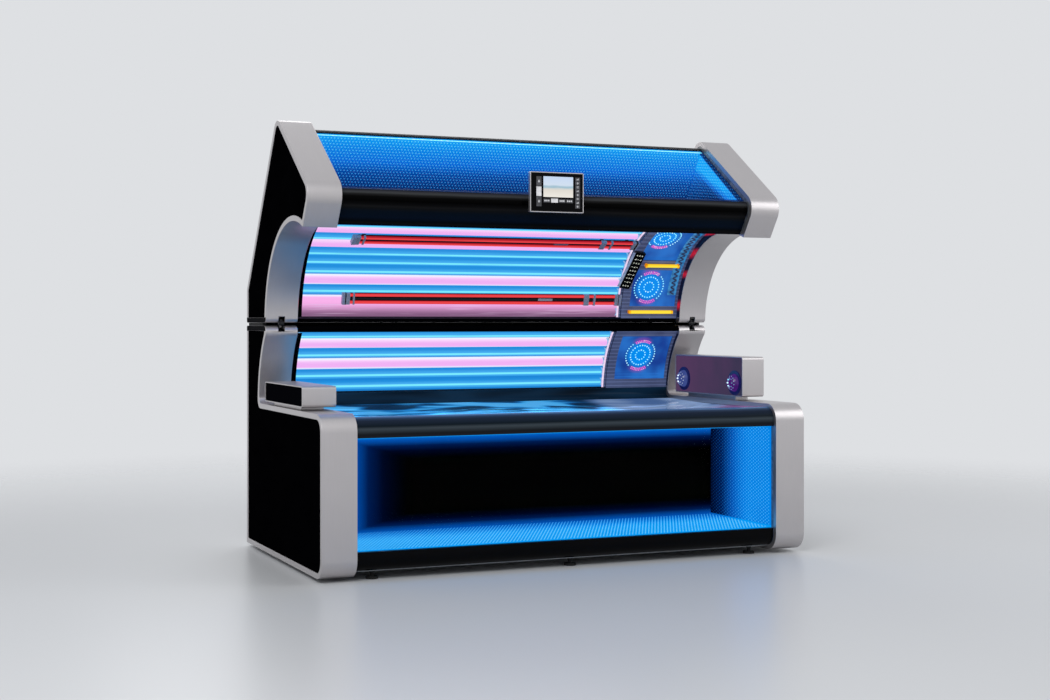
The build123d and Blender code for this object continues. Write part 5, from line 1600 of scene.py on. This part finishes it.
class BED_OT_controls(Operator):
    """Builds the touch screen with its buttons and picture, and the keypad with its marks"""

    bl_idname = "tanning_bed.controls"
    bl_label = "Screen and keypad"

    def execute(self, context):
        body = refined("touchscreen", 0.0015, segments=3)
        hand_over(body, "canopy", "screen_black", brushed_metal(), "touchscreen")
        low, front = SCREEN_LOW, SCREEN_LOW.y
        width, height = SCREEN_HIGH.x - low.x, SCREEN_HIGH.z - low.z

        def tile(name, left, right, bottom, top, depth=0.0006, edge=0.0002):
            """Plate on the screen, by its share of the screen's width and height."""
            piece = box(name, (low.x + left * width, front - depth, low.z + bottom * height),
                        (low.x + right * width, front + 0.001, low.z + top * height))
            return soften(piece, edge)

        def mark(left, right, bottom, top):
            return tile("mark", left, right, bottom, top, MARK_DEPTH)

        glass = tile("screen_glass", *SCREEN_GLASS, 0.0004)
        hand_over(glass, "canopy", "screen_black", gloss_black())
        hand_over(tile("screen_picture", *SCREEN_PICTURE, 0.0008), "canopy", "screen_black", beach_view())
        grey = [tile("tile", *LEFT_KEY_X, b, b + LEFT_KEY_TALL) for b in LEFT_KEY_LOWS]
        grey += [tile("tile", a, a + LOW_KEY_WIDE, *LOW_KEY_Z) for a in LOW_KEY_LEFTS]
        grey += [tile("tile", *RIGHT_KEY_X, RIGHT_KEY_LOW + i * RIGHT_KEY_STEP,
                      RIGHT_KEY_HIGH + i * RIGHT_KEY_STEP) for i in range(RIGHT_KEYS)]
        hand_over(joined("screen_tiles", grey), "canopy", "screen_black",
                  screen_tile("grey_tile", tone(52, 52, 56), tone(74, 74, 80)))
        pale = [tile("tile", *share) for share in PALE_TILES]
        hand_over(joined("screen_pale_tiles", pale), "canopy", "screen_black",
                  screen_tile("pale_tile", tone(196, 196, 200), tone(222, 222, 226)))
        marks = []
        for i in range(RIGHT_KEYS):
            middle = RIGHT_KEY_MIDDLE + i * RIGHT_KEY_STEP
            if i % 3 == 0:
                marks.append(mark(0.868, 0.904, middle - 0.006, middle + 0.006))
                marks.append(mark(0.881, 0.891, middle - 0.026, middle + 0.026))
            elif i % 3 == 1:
                marks += [mark(0.866 + j * 0.014, 0.875 + j * 0.014, middle - 0.022, middle + j * 0.011)
                          for j in range(3)]
            else:
                marks.append(mark(0.866, 0.906, middle - 0.020, middle - 0.010))
                marks.append(mark(0.866, 0.906, middle + 0.010, middle + 0.020))
        for a in (0.262, 0.544, 0.686):
            marks += [mark(a + j * 0.034, a + 0.024 + j * 0.034, 0.272, 0.308) for j in range(3)]
        for middle in (0.268, 0.762):
            marks.append(mark(0.146, 0.178, middle - 0.010, middle + 0.010))
            marks.append(mark(0.156, 0.168, middle - 0.034, middle + 0.034))
        hand_over(joined("screen_marks", marks), "canopy", "screen_black",
                  lit_dot("screen_mark", tone(186, 188, 194), 1.0))
        self.keypad()
        return {"FINISHED"}

    def keypad(self):
        """Black glass with light marks on the lit edge of its base."""
        hand_over(refined("keypad", 0.0012), "canopy", "screen_black", satin_black(), "keypad")
        lean = about(CANOPY_HUB, KEYPAD_TURN) @ shift(KEYPAD_X, CANOPY_HUB.x + KEYPAD_REACH, CANOPY_HUB.y)
        lean = lean @ Matrix.Rotation(radians(KEYPAD_LEAN), 4, "Y")
        glass = box("keypad_glass", (-0.0282, -0.0078, -0.1110), (0.0282, -0.0066, 0.1110))
        hand_over(moved(soften(glass, 0.0005), lean), "canopy", "screen_black", gloss_black())
        edge = box("keypad_edge", (-0.0450, -0.0062, -0.1060), (-0.0286, -0.0050, 0.1060))
        hand_over(moved(soften(edge, 0.0003), lean), "canopy", "screen_black",
                  screen_tile("keypad_edge", tone(98, 114, 150), tone(140, 154, 184)))
        marks = []
        for row in range(KEY_ROWS):
            for column in range(KEY_COLUMNS):
                marks += key_mark((row + 2 * column) % 4, KEY_FIRST[0] + column * KEY_STEP[0],
                                  KEY_FIRST[1] + row * KEY_STEP[1])
        hand_over(moved(joined("keypad_marks", marks), lean), "canopy", "screen_black",
                  lit_dot("keypad_mark", tone(200, 206, 190), 1.0))


def key_mark(kind, x, z):
    """One mark of the keypad: a plus, a minus, a ring or three rising bars."""

    def bar(x0, x1, z0, z1):
        return box("mark", (x + x0, -0.0084, z + z0), (x + x1, -0.0076, z + z1))

    if kind == 2:
        return [start("mark", "torus", major_radius=0.0035, minor_radius=0.0007, major_segments=16,
                      minor_segments=6, location=(x, -0.0080, z), rotation=(pi / 2, 0, 0))]
    if kind == 3:
        return [bar(i * 0.003 - 0.004, i * 0.003 - 0.002, -0.004, i * 0.0025 - 0.001) for i in range(3)]
    across, upright = bar(-0.004, 0.004, -0.001, 0.001), (-0.001, 0.001, -0.004, 0.004)
    return [across, bar(*upright)] if kind == 0 else [across]


# ---- hinges, struts, feet and hidden parts -------------------------------------------------------
class BED_OT_mechanics(Operator):
    """Finishes the hinges, gas struts, feet, rear screws and the hidden gear"""

    bl_idname = "tanning_bed.mechanics"
    bl_label = "Hinges, struts and feet"

    def execute(self, context):
        for node, body, slot, finish, edge in (
                ("base_pivot_brackets", "base", "matte_black", satin_black(), 0.0008),
                ("hinge_pins", "base", "bright_steel", plain_steel(), 0.0008),
                ("canopy_pivot_brackets", "canopy", "matte_black", satin_black(), 0.0008),
                ("strut_cylinders", "strut_barrels", "matte_black", satin_black(), 0.0008),
                ("strut_rods", "strut_pistons", "bright_steel", plain_steel(), 0.0004),
                ("levelling_feet", "base", "pad_rubber", foot_rubber(), 0.001),
                ("mains_inlet_box", "base", "matte_black", satin_black(), 0.0008)):
            hand_over(refined(node, edge), body, slot, finish, node)
        coat(grey_gear(), "ballasts", "base_blower_housing", "canopy_blower_housing")
        coat(satin_black(), "base_blower_rotor", "canopy_blower_rotor")
        coat(plain_steel(), "riser_reflector", "canopy_reflector")
        self.screws(context.scene.tanning_bed_sizes.screw_radius)
        return {"FINISHED"}

    def screws(self, radius):
        """Domed screws along the seams of the rear covers."""
        head = start("head", "uv_sphere", segments=20, ring_count=10, radius=radius)
        with editing(head):
            bpy.ops.transform.resize(value=(1, 1, 0.45))
            bpy.ops.mesh.bisect(plane_co=(0, 0, 0), plane_no=(0, 0, -1), clear_outer=True, use_fill=True)
        cut(head, start("socket", "cylinder", vertices=6, radius=radius * 0.42, depth=radius,
                        location=(0, 0, radius * 0.6)))
        face_rear = Matrix.Rotation(-pi / 2, 4, "X")
        columns = (-1.00, -0.5, 0.0, 0.5, 1.00)
        places = [shift(x, REAR - SHELL_INSET, z) @ face_rear for x in columns
                  for z in (0.085, 0.415, 0.680, 1.035)]
        covers = joined("base_cover_screws", repeated(twin(head), places))
        hand_over(soften(covers, 0), "base", "bright_steel", plain_steel())
        slope = Matrix.Rotation(-atan2(REAR_SLOPE, 1), 4, "X")
        places = []
        for z in (1.32, 1.83):
            places += [shift(x, rear_slope_y(z), z) @ slope for x in columns]
        places += [shift(x, REAR - CANOPY_INSET, 1.16) @ face_rear for x in columns]
        covers = joined("canopy_cover_screws", repeated(head, places))
        hand_over(soften(covers, 0), "canopy", "bright_steel", plain_steel())


# ---- the whole machine ---------------------------------------------------------------------------
class BED_PT_panel(Panel):
    """Lists the steps that dress the tanning bed"""

    bl_idname = "BED_PT_panel"
    bl_label = "Tanning Bed"
    bl_space_type = "VIEW_3D"
    bl_region_type = "UI"
    bl_category = "Tanning Bed"

    def draw(self, context):
        for step in STEPS:
            self.layout.operator(step.bl_idname)


STEPS = (BED_OT_stage, BED_OT_end_bands, BED_OT_side_panels, BED_OT_shells, BED_OT_lamps, BED_OT_niches,
         BED_OT_bed, BED_OT_red_bars, BED_OT_facial, BED_OT_end_boxes, BED_OT_controls, BED_OT_mechanics)
CLASSES = (TanningBedSizes, TanningBedColours, *STEPS, BED_PT_panel)


def register():
    for entry in CLASSES:
        bpy.utils.register_class(entry)
    bpy.types.Scene.tanning_bed_sizes = PointerProperty(type=TanningBedSizes)
    bpy.types.Scene.tanning_bed_colours = PointerProperty(type=TanningBedColours)


def unregister():
    del bpy.types.Scene.tanning_bed_sizes
    del bpy.types.Scene.tanning_bed_colours
    for entry in reversed(CLASSES):
        bpy.utils.unregister_class(entry)


def main():
    register()
    for step in STEPS:
        group, name = step.bl_idname.split(".")
        getattr(getattr(bpy.ops, group), name)()


if __name__ == "__main__":
    main()
